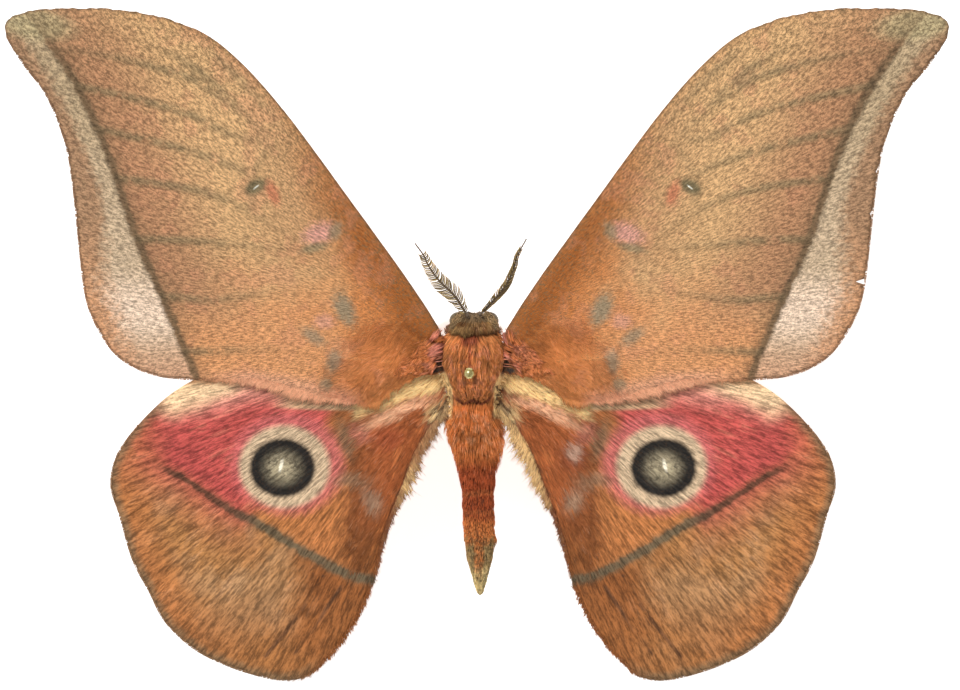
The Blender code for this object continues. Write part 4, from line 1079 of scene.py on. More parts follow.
def abdomen_roots():
    """Hair of the abdomen, long in front, with a tuft standing out on its right near the tip."""
    def lift(y, angle):
        flare = np.clip(np.sin(np.abs(angle)), 0, 1) ** 2 * np.interp(y, (-14, -10.5, -7), (0, 0.9, 1.1))
        flare = flare * np.where(angle < 0, np.interp(y, (-11, -7), (0.1, 0.9)), 1.0)
        flare = flare + 0.5 * np.exp(-((y + 25.6) / 0.9) ** 2) * (angle > 0) * np.sin(angle) ** 2
        return np.interp(y, (-33.5, -29, -18, -15, -9), (0.22, 0.2, 0.2, 0.4, 0.5)) + flare

    reach = ((-33.5, -29, -27, -18, -15, -9), (1.6, 1.5, 1.0, 1.0, 2.3, 2.8))
    lean = ((-33, -20, -14, -9), (0, 0, 2, 12))
    roots = body_tufts(-6.2, -33.3, bpy.context.scene.moth_coat.abdomen_tufts, 11, reach, 0.11, lift,
                       (lean, 1.4, 1), per_clump=18, pull=0.4, girth=2.9, puff=0.05)
    calm = np.interp(roots["root"][:, 1], (-30, -26, -17, -12), (1.2, 0.6, 0.5, 1.0))
    roots["shade"] = 0.5 + (roots["shade"] - 0.5) * calm
    return roots


def head_roots():
    """Short hair of the head: back over the crown, forward and down on the face, and over the eyes."""
    crown = body_tufts(8.6, 6.6, 2300, 13, 1.0, 0.09, 0.4, (12, 1.2, 1), per_clump=10, pull=0.4,
                       girth=2.3)
    draw = np.random.default_rng(17)
    count = 2300
    y = draw.uniform(7.9, 9.0, count)
    angle = draw.uniform(-math.pi, math.pi, count)
    root, _ = skin_point(y, angle, -0.05)
    tip, out = skin_point(y + 0.25, angle + draw.normal(0, 0.15, count), draw.uniform(0.15, 0.4, count))
    ahead = draw.uniform(0.05, 0.22, count) * np.clip((y - 7.9) / 0.8, 0.2, 1)
    face = dict(root=root, tip=tip + np.array((0, 1, -0.25)) * ahead[:, None], out=out,
                width=0.09 * draw.uniform(0.7, 1.3, count), height=draw.uniform(0.04, 0.16, count),
                shade=draw.uniform(0, 1, count), uv=skin_uv(y, angle), tone=np.zeros(count))
    cheek = body_tufts(8.25, 7.0, 2600, 19, 0.8, 0.10, 1.45, per_clump=12, pull=0.5, girth=2.6, tone=0.2)
    roots = joined_roots(crown, face, side_roots(cheek, 55, 115))
    clear = np.ones(len(roots["root"]), bool)
    for sign in SIGNS.values():
        for ends in (roots["root"], roots["tip"], (roots["root"] + roots["tip"]) / 2):
            clear &= np.linalg.norm(ends - eye_centre(sign), axis=1) > EYE_RADIUS + 0.05
    for route in ANTENNA_ROUTES.values():
        clear &= np.linalg.norm(roots["root"] - np.array(route[0]), axis=1) > 0.55
    return joined_roots(kept_roots(roots, clear), brow_roots(-1), brow_roots(1))


def brow_roots(sign):
    """Short hair that lies over the inner and rear part of an eye."""
    draw = np.random.default_rng(20 + sign)
    way = unit(draw.normal(0, 1, (3400, 3)))
    from_side = np.array((-0.72 * sign, -0.60, 0.35))
    way = way[(way @ from_side > -0.3) & (way[:, 2] > -0.3)]
    count = len(way)
    flow = np.array((0.62 * sign, -0.75, 0.1)) + draw.normal(0, 0.18, way.shape)
    ahead = unit(way * EYE_RADIUS + flow * 0.55)
    tip = eye_centre(sign) + ahead * (EYE_RADIUS + draw.uniform(0.04, 0.2, count))[:, None]
    return dict(root=eye_centre(sign) + way * (EYE_RADIUS - 0.03), tip=tip, out=way,
                width=0.09 * draw.uniform(0.7, 1.3, count), height=draw.uniform(0.1, 0.2, count),
                uv=np.stack([0.5 + 0.12 * sign + 0.05 * way[:, 0], 0.9 + 0.05 * way[:, 1]], axis=1),
                shade=draw.uniform(0, 1, count), tone=np.full(count, 0.55))


def wing_tufts(side, places, heading, seed, length, width, lift, drop, tone, per_clump=14, pull=0.6,
               above=0.2, bury=0.1):
    """Tufts that lie on a wing; headings are degrees from outwards to forward."""
    draw = np.random.default_rng(seed)
    count = len(places)
    turn = radians(heading + draw.normal(0, 6, count))
    reach = length * draw.uniform(0.7, 1.2, count)
    tips = places + np.stack([np.cos(turn), np.sin(turn)], axis=1) * reach[:, None]
    tips, shade = clumped(places, tips, draw, per_clump, pull)
    rise = lift * draw.uniform(0.3, 1.2, count)
    root_z = wing_height(*places.T, drop) + above - bury
    tip_z = wing_height(*tips.T, drop) + above + rise
    return dict(root=np.column_stack([SIGNS[side] * places[:, 0], places[:, 1], root_z]),
                tip=np.column_stack([SIGNS[side] * tips[:, 0], tips[:, 1], tip_z]),
                out=np.tile(np.array((0.0, 0.0, 1.0)), (count, 1)),
                width=width * draw.uniform(0.7, 1.3, count), height=0.08 + 0.5 * rise,
                uv=(places + (5, 50)) / 110.0, shade=shade, tone=tone + np.zeros(count))


def places_under(roots):
    """Places on a wing, outwards and forward, of the roots."""
    return np.column_stack([np.abs(roots["root"][:, 0]), roots["root"][:, 1]])


def border_share(places, corners, fade):
    """0 on the border of a region, rising to 1 over the fade."""
    return np.clip(line_distance(places, closed_loop(np.array(corners)))[0] / fade, 0, 1)


def softened(roots, corners, fade):
    """The same hair, thinner, flatter and shorter towards the border of its region."""
    share = border_share(places_under(roots), corners, fade)
    reach = (0.4 + 0.6 * share)[:, None]
    return dict(roots, width=roots["width"] * (0.35 + 0.65 * share),
                height=roots["height"] * (0.2 + 0.8 * share),
                tip=roots["root"] + (roots["tip"] - roots["root"]) * reach)


def places_within(corners, count, seed, fade=0.0):
    """Random places inside a closed region, thinning out over the fade towards its border."""
    draw = np.random.default_rng(seed)
    corners = np.array(corners)
    found = np.zeros((0, 2))
    while len(found) < count:
        more = draw.uniform(corners.min(axis=0), corners.max(axis=0), (count * 2, 2))
        more = more[inside_outline(more, corners)]
        if fade:
            more = more[draw.uniform(0, 1, len(more)) < border_share(more, corners, fade) ** 1.5]
        found = np.concatenate([found, more])
    return found[:count]


def patches_at(places, size, seed):
    """Soft random patches of a size on a wing, from 0 to 1."""
    return value_noise(*(places / size).T, seed)


def shoulder_roots(side):
    """Tufts of the shoulder pad and of the forewing's root."""
    seed = 20 + SIDE_SEEDS[side]
    pad = ((3.9, 3.2), (4.0, 6.4), (4.9, 7.2), (5.9, 6.8), (8.6, 4.4), (11.4, 1.8), (12.2, -0.4),
           (9.6, -0.6), (7.4, -0.3), (5.0, 0.2), (4.0, 1.0))
    places = places_within(pad, 4600, seed, fade=2.4)
    places = places[value_noise(places[:, 0] / 0.7 + 9, places[:, 1] / 0.7, seed + 5) > 0.27]
    hollow = np.linalg.norm((places - (4.9, 1.7)) / (0.7, 1.1), axis=1) < 1
    hollow |= np.linalg.norm((places - (5.6, 0.5)) / (0.9, 0.6), axis=1) < 1
    places = places[~hollow]
    heading = np.interp(places[:, 1], (-0.3, 2.0, 4.5, 6.8), (-46, -36, -40, -60))
    heading = heading + 65 * (patches_at(places, 1.0, seed) - 0.5)
    near = np.exp(-(np.maximum(places[:, 0] - 4.8, 0) / 1.6) ** 2)
    tone = 1.9 * patches_at(places, 0.9, seed + 9) - 0.85 + 0.5 * near
    tone = np.clip(tone, 0, 1) * (0.3 + 0.7 * near)
    roots = wing_tufts(side, places, heading, seed, 1.3 + 0.6 * near, 0.11, 0.2 + 0.4 * near, 0.0, tone,
                       per_clump=16, pull=0.75)
    slim = 1 - 0.5 * np.clip((places[:, 0] - 6.5) / 4.0, 0, 1)
    roots["width"] *= slim
    roots["height"] *= slim
    roots["root"][:, 2] += 0.5 * near
    roots["tip"][:, 2] += 0.3 * near
    return roots


def forewing_hair_roots(side):
    """Hair over the forewing's base that sweeps back past its rear edge in a few points."""
    seed = 30 + SIDE_SEEDS[side]
    base = ((4.0, 6.5), (10.5, 10.0), (18.0, 9.0), (24.0, 2.0), (25.5, -5.0), (19.3, -7.0),
            (14.6, -7.0), (12.6, -5.5), (10.4, -4.0), (7.6, -3.4), (3.0, -2.0))
    places = places_within(base, 6400, seed, fade=5.5)
    inside = inside_outline(places, smooth_line(FOREWING_OUTLINE, 1.0, closed=True))
    places = places[inside & (places[:, 0] > 5.0)]
    heading = np.interp(places[:, 0], (5, 10, 15, 22), (-34, -44, -40, -26))
    heading = heading + 56 * (patches_at(places, 1.8, seed + 3) - 0.5)
    reach = np.interp(places[:, 0], (5, 8, 11, 16, 22), (1.1, 1.5, 2.8, 2.6, 1.6))
    hair = wing_tufts(side, places, heading, seed, reach, 0.08, 0.06, 0.0, 0.0, pull=0.5, above=0.15,
                      bury=0.04)
    hair = softened(hair, base, 9.0)

    draw = np.random.default_rng(seed + 5)
    spans = 9.0 + 31.0 * draw.uniform(0, 1, 3600) ** 1.3
    rear = np.interp(spans, (4.66, 7.6, 10.4, 12.6, 14.6, 19.3, 23.6, 28.6, 34.0, 42.0),
                     (0.3, -0.4, -1.2, -2.6, -4.1, -4.1, -3.5, -2.2, -1.3, -1.1))
    places = np.stack([spans, rear + draw.uniform(0.0, 0.9, len(spans))], axis=1)
    heading = np.interp(spans, (9, 12, 16, 23, 40), (-56, -46, -72, -50, -58))
    reach = np.interp(spans, (9, 11, 13.5, 16, 18, 22, 28, 34, 40),
                      (0.7, 1.7, 2.7, 2.3, 1.5, 2.0, 2.5, 1.6, 0.6))
    reach = reach * draw.uniform(0.4, 1.1, len(spans))
    heading = heading + draw.normal(0, 13, len(spans))
    heading = heading + 34 * (value_noise(spans * 1.1, 0 * spans, seed) - 0.5)
    fringe = wing_tufts(side, places, heading, seed + 1, reach, 0.08, 0.0, 0.0, 0.0, per_clump=11,
                        pull=0.35, above=0.05)
    return joined_roots(hair, fringe)


def hindwing_hair_roots(side):
    """Hair that spreads from the hindwing's root over its inner half."""
    seed = 40 + SIDE_SEEDS[side]
    root = ((4.2, -0.9), (9.0, 1.0), (17.5, -2.6), (16.0, -6.4), (11.0, -5.6), (7.0, -7.2), (3.9, -5.2))
    places = places_within(root, 2700, seed)
    heading = np.interp(places[:, 0], (4, 8, 16), (-58, -30, -18))
    root_hair = wing_tufts(side, places, heading, seed, 2.8, 0.10, 0.14, LAYER_DROP, 0.0, per_clump=20,
                           above=0.13)
    field = ((3.0, -3.0), (8.0, -1.6), (14.5, -1.6), (20.5, -4.0), (20.0, -14.0), (21.0, -22.0),
             (20.0, -34.0), (14.0, -28.0), (11.0, -20.5), (8.6, -14.0), (5.6, -9.0))
    places = places_within(field, 5600, seed + 2, fade=4.0)
    places = places[inside_outline(places, smooth_line(HINDWING_OUTLINE, 1.0, closed=True))]
    heading = 0.75 * heading_of(places - 1.0) - 14 + 22 * (patches_at(places, 3, seed) - 0.5)
    long_hair = wing_tufts(side, places, heading, seed + 4, 3.0, 0.09, 0.10, LAYER_DROP, 0.0,
                           per_clump=18, pull=0.5, above=0.14, bury=0.04)
    return joined_roots(root_hair, softened(long_hair, field, 6.0))


def directions(line, at):
    """Directions of a line at some of its points."""
    return unit(line[at + 1] - line[at - 1])


def heading_of(flow):
    """Degrees from outwards to forward of a flow along a wing."""
    return np.degrees(np.arctan2(flow[:, 1], flow[:, 0]))


def fringe_roots(side):
    """The ragged cream fringe along the hindwing's inner margin, long near the body."""
    seed = 50 + SIDE_SEEDS[side]
    draw = np.random.default_rng(seed)
    inner_margin = HINDWING_OUTLINE[INNER_MARGIN[0]:INNER_MARGIN[1]][::-1]
    margin = smooth_line(inner_margin, 0.1)
    share = draw.uniform(0, 1, 4600) ** 1.5
    at = np.clip((share * (len(margin) - 2)).astype(int), 1, len(margin) - 2)
    share = at / len(margin)
    along = directions(margin, at)
    inward = np.stack([-along[:, 1], along[:, 0]], axis=1)
    inward *= np.sign(inward[:, :1])
    near = np.interp(share, (0.0, 0.04, 0.09, 0.24, 0.37, 1.0), (0.4, 0.6, 1.0, 0.85, 0.2, 0.12))
    near = near * (0.6 + 0.75 * value_noise(share * 90, 0 * share, seed))
    places = margin[at] + inward * draw.uniform(-0.05, 0.5, len(at))[:, None]
    flow = along - inward * (0.9 + 0.4 * near[:, None])
    heading = heading_of(flow) + draw.normal(0, 17, len(at))
    dark = draw.uniform(0, 1, len(at)) < 0.2
    reach = (0.45 + 2.3 * near) * draw.uniform(0.3, 1.15, len(at)) * np.where(dark, 1.2, 1.0)
    tone = np.where(dark, 0.0, np.clip(1.6 * near - 0.3, 0, 1) * draw.uniform(0.55, 1.0, len(at)))
    if side == "left":
        tone = tone * np.interp(places[:, 1], (-16.5, -12.5), (1.0, 0.3))
    roots = wing_tufts(side, places, heading, seed, reach, 0.09, 0.10, LAYER_DROP, tone, per_clump=6,
                       pull=0.4, above=0.08)
    return dict(roots, width=np.where(dark, 0.045, roots["width"]))


def rim_roots(side, pair, first, last, seed):
    """A very short fringe of scales on a wing's outer edge, between two points of its outline."""
    draw = np.random.default_rng(seed)
    edge = smooth_line(WINGS[pair][0][first:last], 0.1)
    at = draw.integers(1, len(edge) - 1, 1600)
    along = directions(edge, at)
    outward = np.stack([along[:, 1], -along[:, 0]], axis=1)
    places = edge[at] - outward * 0.14
    if pair == "fore":
        places[:, 0] = stretched(places[:, 0], side)
    heading = heading_of(outward) + draw.normal(0, 14, len(at))
    roots = wing_tufts(side, places, heading, seed + 1, 0.42, 0.09, 0.0, WINGS[pair][4], 0.0,
                       per_clump=8, pull=0.25, above=0.08)
    return dict(roots, height=np.full(len(at), 0.05))


def measured(roots, side, pair):
    """The roots with the measures of the wing that their colour needs."""
    outline, _, _, line, _, _ = WINGS[pair]
    places = places_under(roots)
    edge = smooth_line(outline, 1.0, closed=True)
    off, on_side = line_distance(places, smooth_line(line, 1.0))
    return dict(roots, rim=line_distance(places, closed_loop(edge))[0] * inside_outline(places, edge),
                costa=line_distance(places, smooth_line(outline[:COSTA_POINTS[pair]], 1.0))[0],
                line=off * on_side,
                place=np.column_stack([places, np.full(len(places), SIDE_DEPTHS[side])]))


def joined_piece(name, pieces):
    """Several mesh objects made one."""
    bm = bmesh.new()
    material = pieces[0].data.materials[0]
    for piece in pieces:
        bm.from_mesh(piece.data)
        bpy.data.objects.remove(piece, do_unlink=True)
    return piece_from_bmesh(name, bm, material)


def antenna_branches(side):
    """Roots and tips of the two rows of side branches of an antenna."""
    settings = bpy.context.scene.moth_antennae
    draw = np.random.default_rng(60 + SIDE_SEEDS[side])
    line = smooth_line(ANTENNA_ROUTES[side], 0.15)
    steps = np.linalg.norm(np.diff(line, axis=0), axis=1)
    lengths = np.concatenate([[0], np.cumsum(steps)])
    rows = []
    for share in np.linspace(0, 1, settings.pairs):
        place = (0.05 + 0.80 * share) * lengths[-1]
        at = int(np.clip(np.searchsorted(lengths, place), 1, len(line) - 2))
        ahead = directions(line, at)
        roll = Matrix.Rotation(math.radians(ANTENNA_ROLL[side]), 3, Vector(ahead))
        across = np.array(roll @ Vector(unit(np.cross(ahead, (0, 0, 1)))))
        reach = settings.reach / MM * min(1.0, 0.5 + 2.2 * share, 1.4 - 1.0 * share)
        for sign in (-1, 1):
            sweep = math.radians(50 + draw.normal(0, 3))
            out = across * sign * math.sin(sweep) + ahead * math.cos(sweep)
            curl = unit(out + (ahead - np.array((0, 0, 1))) * 0.22)
            tip = line[at] + out * reach * 0.55 + curl * reach * 0.45
            rows.append((line[at], tip, np.cross(np.cross(out, ahead), out) + 1e-6))
    count = len(rows)
    root, tip, out = (np.array(column) for column in zip(*rows))
    # Every other pair of branches takes the dark tone: painted shade that sets the branches apart as stripes.
    return dict(root=root, tip=tip, out=-unit(out), width=np.full(count, 0.31),
                height=np.full(count, 0.28), uv=draw.uniform(0.02, 0.95, (count, 2)),
                shade=draw.uniform(0, 1, count), tone=0.8 * (np.arange(count) // 2 % 2))


def belly_height(x, y):
    """Height of the thorax's underside in the solid at a place."""
    stations = np.array(BODY_STATIONS)[::-1]
    half_width, belly, back = (np.interp(y, stations[:, 0], stations[:, k]) for k in (2, 3, 4))
    share = (1 - (abs(x) / half_width) ** SECTION_POWER) ** (1 / SECTION_POWER)
    return (belly + back) / 2 - share * (back - belly) / 2


def leg_route(pair, sign):
    """A leg's path from its root to its foot, and the radius along it."""
    root, bends = LEGS[pair]
    start = np.array((root[0], root[1], belly_height(*root) + 0.2))
    knee, ankle, foot = (np.array(p) for p in bends)
    corners = [start, (start + knee) / 2, knee, (knee + ankle) / 2, ankle, (ankle + foot) / 2, foot]
    path = smooth_line(corners, 0.12) * (sign, 1, 1)
    share = np.linspace(0, 1, len(path))
    radii = np.interp(share, (0, 0.15, 0.33, 0.36, 0.5, 0.66, 0.69, 0.85, 1.0),
                      (0.5, 0.55, 0.36, 0.3, 0.38, 0.27, 0.2, 0.17, 0.15))
    ring = 0.5 + 0.5 * np.cos(share * 2 * math.pi * 15)
    radii = radii + 0.035 * ring * (share > 0.68)
    return path, radii


def leg_tufts(pair, sign, seed):
    """Hair of one leg, long on the thigh and very short on the foot."""
    path, radii = leg_route(pair, sign)
    draw = np.random.default_rng(seed)
    count = 700
    at = draw.integers(2, len(path) - 6, count)
    share = at / len(path)
    ahead = directions(path, at)
    any_way = draw.normal(0, 1, (count, 3))
    out = unit(any_way - ahead * (any_way * ahead).sum(axis=1)[:, None])
    reach = np.interp(share, (0, 0.3, 0.6, 0.72, 1.0), (1.1, 0.9, 0.6, 0.3, 0.22))
    root = path[at] + out * (radii[at] * 0.9)[:, None]
    tip = root + (ahead + out * 0.22) * reach[:, None]
    turn = draw.uniform(0, 1, count)
    return dict(root=root, tip=tip, out=out, height=0.1 * reach, width=0.08 + 0.05 * reach,
                uv=0.95 * np.stack([turn, share], axis=1), shade=draw.uniform(0, 1, count),
                tone=np.zeros(count))


def wing_group(name):
    """A wing's colour group: its place and its distances in, its colour out."""
    inputs = [("Place", "Vector", (0, 0, 0))]
    inputs += [(label.title(), "Float", 9.0) for label in WING_MEASURES]
    return new_group(name, inputs, (("Colour", "Color"),))


def forewing_colour():
    """The forewing's colours, shared by its membrane and its hair."""
    c = bpy.context.scene.moth_wings
    m, given, made = wing_group("forewing_colour")
    place = given["Place"]
    flat = m.vector("MULTIPLY", place, (1, 1, 0))
    s, f, _ = m.split(flat)
    costa = given["Costa"]
    broad = m.noise(place, 0.16, 3) - 0.5
    ragged = m.noise(place, 0.9, 4, 0.7) - 0.5
    line = given["Line"] + ragged * 1.3
    within = line * -1

    margin = m.mix(m.ease(f, 26, 9), (0.37, 0.21, 0.115), (0.58, 0.295, 0.15))
    past = m.math("DIVIDE", line, m.ease(f, 28, 10) * 5 + 3.3) + ragged * 0.6
    beyond = m.layers(
        m.mix(m.ease(f, 46, 12), (0.455, 0.33, 0.195), c.band),
        ((0.84, 0.63, 0.47), (f, 17, 10), (f, 2, 9), 0.9),
        (margin, (past, 0.6, 1.25)),
        ((0.6, 0.3, 0.17), (f, 8, -1), 0.75),
    )
    colour = m.layers(
        m.mix(m.ease(f + broad * 16, 20, 5), c.tan, c.salmon),
        (c.rose, (within, 16, 3), (f, 3, 14)),
        ((0.47, 0.245, 0.115), (s, 38, 26), (f, 10, 20), 0.55),
        (c.orange, (s + broad * 12, 29, 12)),
        (c.costa, (costa + broad * 3, 8, 2.5), (s, 32, 15), 0.95),
        ((0.36, 0.16, 0.055), (costa, 2, 0.3), (s, 62, 40), 0.3),
        ((0.56, 0.235, 0.13), (m.noise(place, 0.24, 4, 0.6), 0.5, 0.64), (s, 60, 45), 0.32),
        ((0.22, 0.165, 0.085), (given["Vein"], 1.2, 0.1), (m.noise(place, 0.5, 4, 0.7), 0.28, 0.52),
         (s, 24, 46), (f, 52, 46), 0.7),
        (beyond, (line, 0, 0.6)),
        ((0.44, 0.355, 0.19), spot(m, flat, (67.5, 53.8), (6, 2.4), 10, 0.45, 0.12), 0.8),
        (c.line, (within, 3.6, 0.3), (within, -0.5, 0.3), 0.32),
        (c.line, (abs(line), 1.05, 0.2), (f, 56, 46), 0.85),
        ((0.68, 0.34, 0.22), (given["Rim"], 3, 0.4), (f, 2, -1), (s, 44, 34), (s, 15, 19), 0.6),
    )
    colour = spotted(m, colour, flat, FOREWING_MARKS)
    m.feed(made["Colour"], m.layers(
        colour, ((0.19, 0.1, 0.05), (given["Rim"], 0.5, 0.1), 0.6, (f + s * 0.1, 1, 4))))
    return m.tree


def hindwing_colour():
    """The hindwing's colours, shared by its membrane and its hair."""
    c = bpy.context.scene.moth_wings
    m, given, made = wing_group("hindwing_colour")
    place, rim, costa = given["Place"], given["Rim"], given["Costa"]
    flat = m.vector("MULTIPLY", place, (1, 1, 0))
    s, f, depth = m.split(place)
    broad = m.noise(place, 0.14, 3) - 0.5
    ragged = m.noise(place, 0.8, 4, 0.7) - 0.5
    angle, radius = about_root(m, s, f)
    streaks = m.noise(m.join(angle * 75, radius * 0.16), 1, 3, 0.6)
    sweep = m.noise(m.join(angle * 34, radius * 0.09), 1, 3, 0.7)
    line = given["Line"] + ragged * 1.3 + (streaks - 0.5) * 0.6

    wander = broad * 5
    front = costa + broad * 3
    inner = m.mix(m.ease(s, 12, 22), (0.42, 0.12, 0.035), (0.37, 0.13, 0.042))
    colour = m.layers(
        inner,
        ((0.27, 0.09, 0.025), (f, -17, -29)),
        (c.ochre, (s + broad * 10, 23, 32)),
        ((0.43, 0.245, 0.12), (m.noise(place, 0.17, 4, 0.6), 0.44, 0.66), (line, -0.5, 0.8),
         (s, 24, 30), 0.5),
        ((0.42, 0.25, 0.13), spot(m, flat, (35, -36), (8, 5), -30, 0.5, 0.25), 0.4),
        ((0.44, 0.155, 0.048), (rim, 9, 1.5), (s, 30, 46), 0.8),
        (c.crimson, (f + wander, 0.5, -5), (s, 18.5, 24), (s + wander, 57, 46), (line, 3.5, -2.5),
         (s + f * 0.75, 15.5, 18.5)),
        ((0.5, 0.115, 0.075), (line, 8, 0), (line, -1, 0.5), (s, 30, 42), 0.5),
        ((0.5, 0.18, 0.055), (line, 0.3, -0.8), (f, -14, -19), (s, 37, 31), (s, 17.5, 22), 0.85),
        (m.mix(m.ease(front, 5.6, 2.4), (0.84, 0.39, 0.29), (0.96, 0.69, 0.4)),
         (front + (s - 30) * 0.26, 10, 4.5), (s, 20, 27), 0.92),
        ((0.62, 0.43, 0.24), (f - m.ease(s, 20, 31) * 0.3, -6.1, -5.4), (s, 14, 16),
         (s, 32, 27), 0.85),
        ((0.58, 0.32, 0.18), (sweep, 0.55, 0.68), (s, 20, 28), 0.18),
    )
    colour = m.scaled(colour, m.ease(sweep, 0.34, 0.62) * 0.24 + 0.84)

    disc = (m, flat, (29.4, -14.65), (5.05, 4.5), 0, 0.1, 0.025)
    grey = m.mix(m.ease(spot(*disc, "Distance"), 0.1, 0.8), (0.44, 0.365, 0.23), c.black)
    grey = m.layers(grey, (c.black, (m.noise(place, 1.5, 4, 0.75), 0.53, 0.36), 0.6))
    dark = abs(line + 0.1) * (1.7 - m.ease(s, 47, 33) * 0.7)
    shade = m.mix(m.ease(s, 40, 31), (0.1, 0.045, 0.025), (0.12, 0.095, 0.055))
    begun = (s, 50, 45.5)
    left, right = (depth, 20, 10), (depth, 10, 20)
    colour = m.layers(
        colour,
        ((0.6, 0.15, 0.14), spot(m, flat, (28.6, -14), (8.7, 7.8), 0, 0.16, 0.06), 0.8),
        ((0.6, 0.435, 0.275), spot(m, flat, (29.1, -14.5), (7, 6.4), 0, 0.1, 0.02)),
        (grey, spot(*disc)),
        ((0.78, 0.71, 0.55), spot(m, flat, (29.6, -14.3), (0.27, 0.95), 14, 0.5, 0.2)),
        (shade, (dark, 1.7, 0.5), begun, 0.25),
        (shade, (dark, 1.05, 0.3), begun, 0.88),
        ((0.33, 0.12, 0.035), (f, -32, -42), (s, 50, 38), 0.6),
        ((0.42, 0.095, 0.035), left, spot(m, flat, (12.2, -9.1), (2, 1.8), 0, 0.6, 0.28), 0.7),
        ((0.33, 0.09, 0.04), right, spot(m, flat, (14.9, -11.7), (2.1, 2.3), 0, 0.6, 0.28), 0.7),
        ((0.55, 0.36, 0.26), right, spot(m, flat, (14.6, -11.2), (1.1, 1.3), 0, 0.6, 0.28), 0.85),
    )
    colour = spotted(m, colour, flat, HINDWING_MARKS)
    slope = f + s * 0.4
    m.feed(made["Colour"], m.layers(
        colour,
        ((0.92, 0.66, 0.31), (slope + ragged * 2, -0.5, 0.5), (s, 19, 15.5)),
        ((0.15, 0.06, 0.03), (rim, 0.8, 0.15), (s, 15.5, 13.5), (slope, -2.5, -4), 0.8),
        ((0.19, 0.07, 0.025), (streaks, 0.5, 0.36), (s, 30, 18), (s, 13, 17), 0.3),
        ((0.13, 0.055, 0.025), (given["Fold"], 0.48, 0.08), 0.85),
        ((0.19, 0.125, 0.065), (rim + ragged * 1.6, 1.8, 0.2), (s, 22, 28), (costa, 1, 2.5), 0.78),
    ))
    return m.tree


def wing_colour(m, build, measures):
    """The colour of a wing from the measures that a mesh carries, and the place that it is read at."""
    place = m.attribute("place", "Vector")
    values = {label.title(): m.attribute(label) for label in measures}
    return m.group(build, Place=place, **values)["Colour"], place


def membrane_material(name, build, fleck, flecks, fan, reach):
    """A wing's membrane: its colours under a fine powder of scales, with the veins in relief."""
    material, shader, m = new_material(name, 0.8, 0.2)
    colour, place = wing_colour(m, build, WING_MEASURES)
    speckled = m.ease(m.attribute("costa"), 11.0, 2.0) * (0.8 * flecks) + flecks
    grained = m.group(scale_grain, Colour=colour, Place=place, Fan=fan, Reach=reach,
                      Fleck_colour=fleck, Flecks=speckled)
    m.feed(shader["Base Color"], grained["Colour"])
    ridge = m.ease(m.attribute("vein"), 0.3, 0.0)
    add_bump(m, shader, grained["Height"] * 0.6 + ridge, 0.35, 0.12)
    return material


def finish_hair(m, shader, colour, dark, light, rooted=0.7):
    """Lightness of hair by its strand and along its length; the darker roots are painted shade deep in the
    coat, and the pale tips of the lightest strands are a painted sheen.
    """
    shade = m.attribute("shade")
    along = m.attribute("along")
    value = m.ease(shade, 0.0, 1.0) * (light - dark) + dark
    rise = m.ease(along, 0.0, 0.6) * (1.0 - rooted) + rooted
    # Darker towards the root as painted shade, with a painted pale sheen on the tips of the lightest strands.
    m.feed(shader["Base Color"], m.layers(
        m.scaled(colour, value * rise),
        ((0.92, 0.62, 0.42), (shade, 0.72, 1.0), (along, 0.2, 0.9), 0.42)))


def wing_hair_material(name, build):
    """Hair that takes the colour of the wing at its root, or cream where its tone is high."""
    material, shader, m = new_material(name, 0.75, 0.3)
    colour, _ = wing_colour(m, build, ("rim", "costa", "line"))
    colour = m.mix(m.attribute("tone"), colour, bpy.context.scene.moth_coat.cream)
    finish_hair(m, shader, colour, 0.95, 1.65, rooted=0.92)
    return material


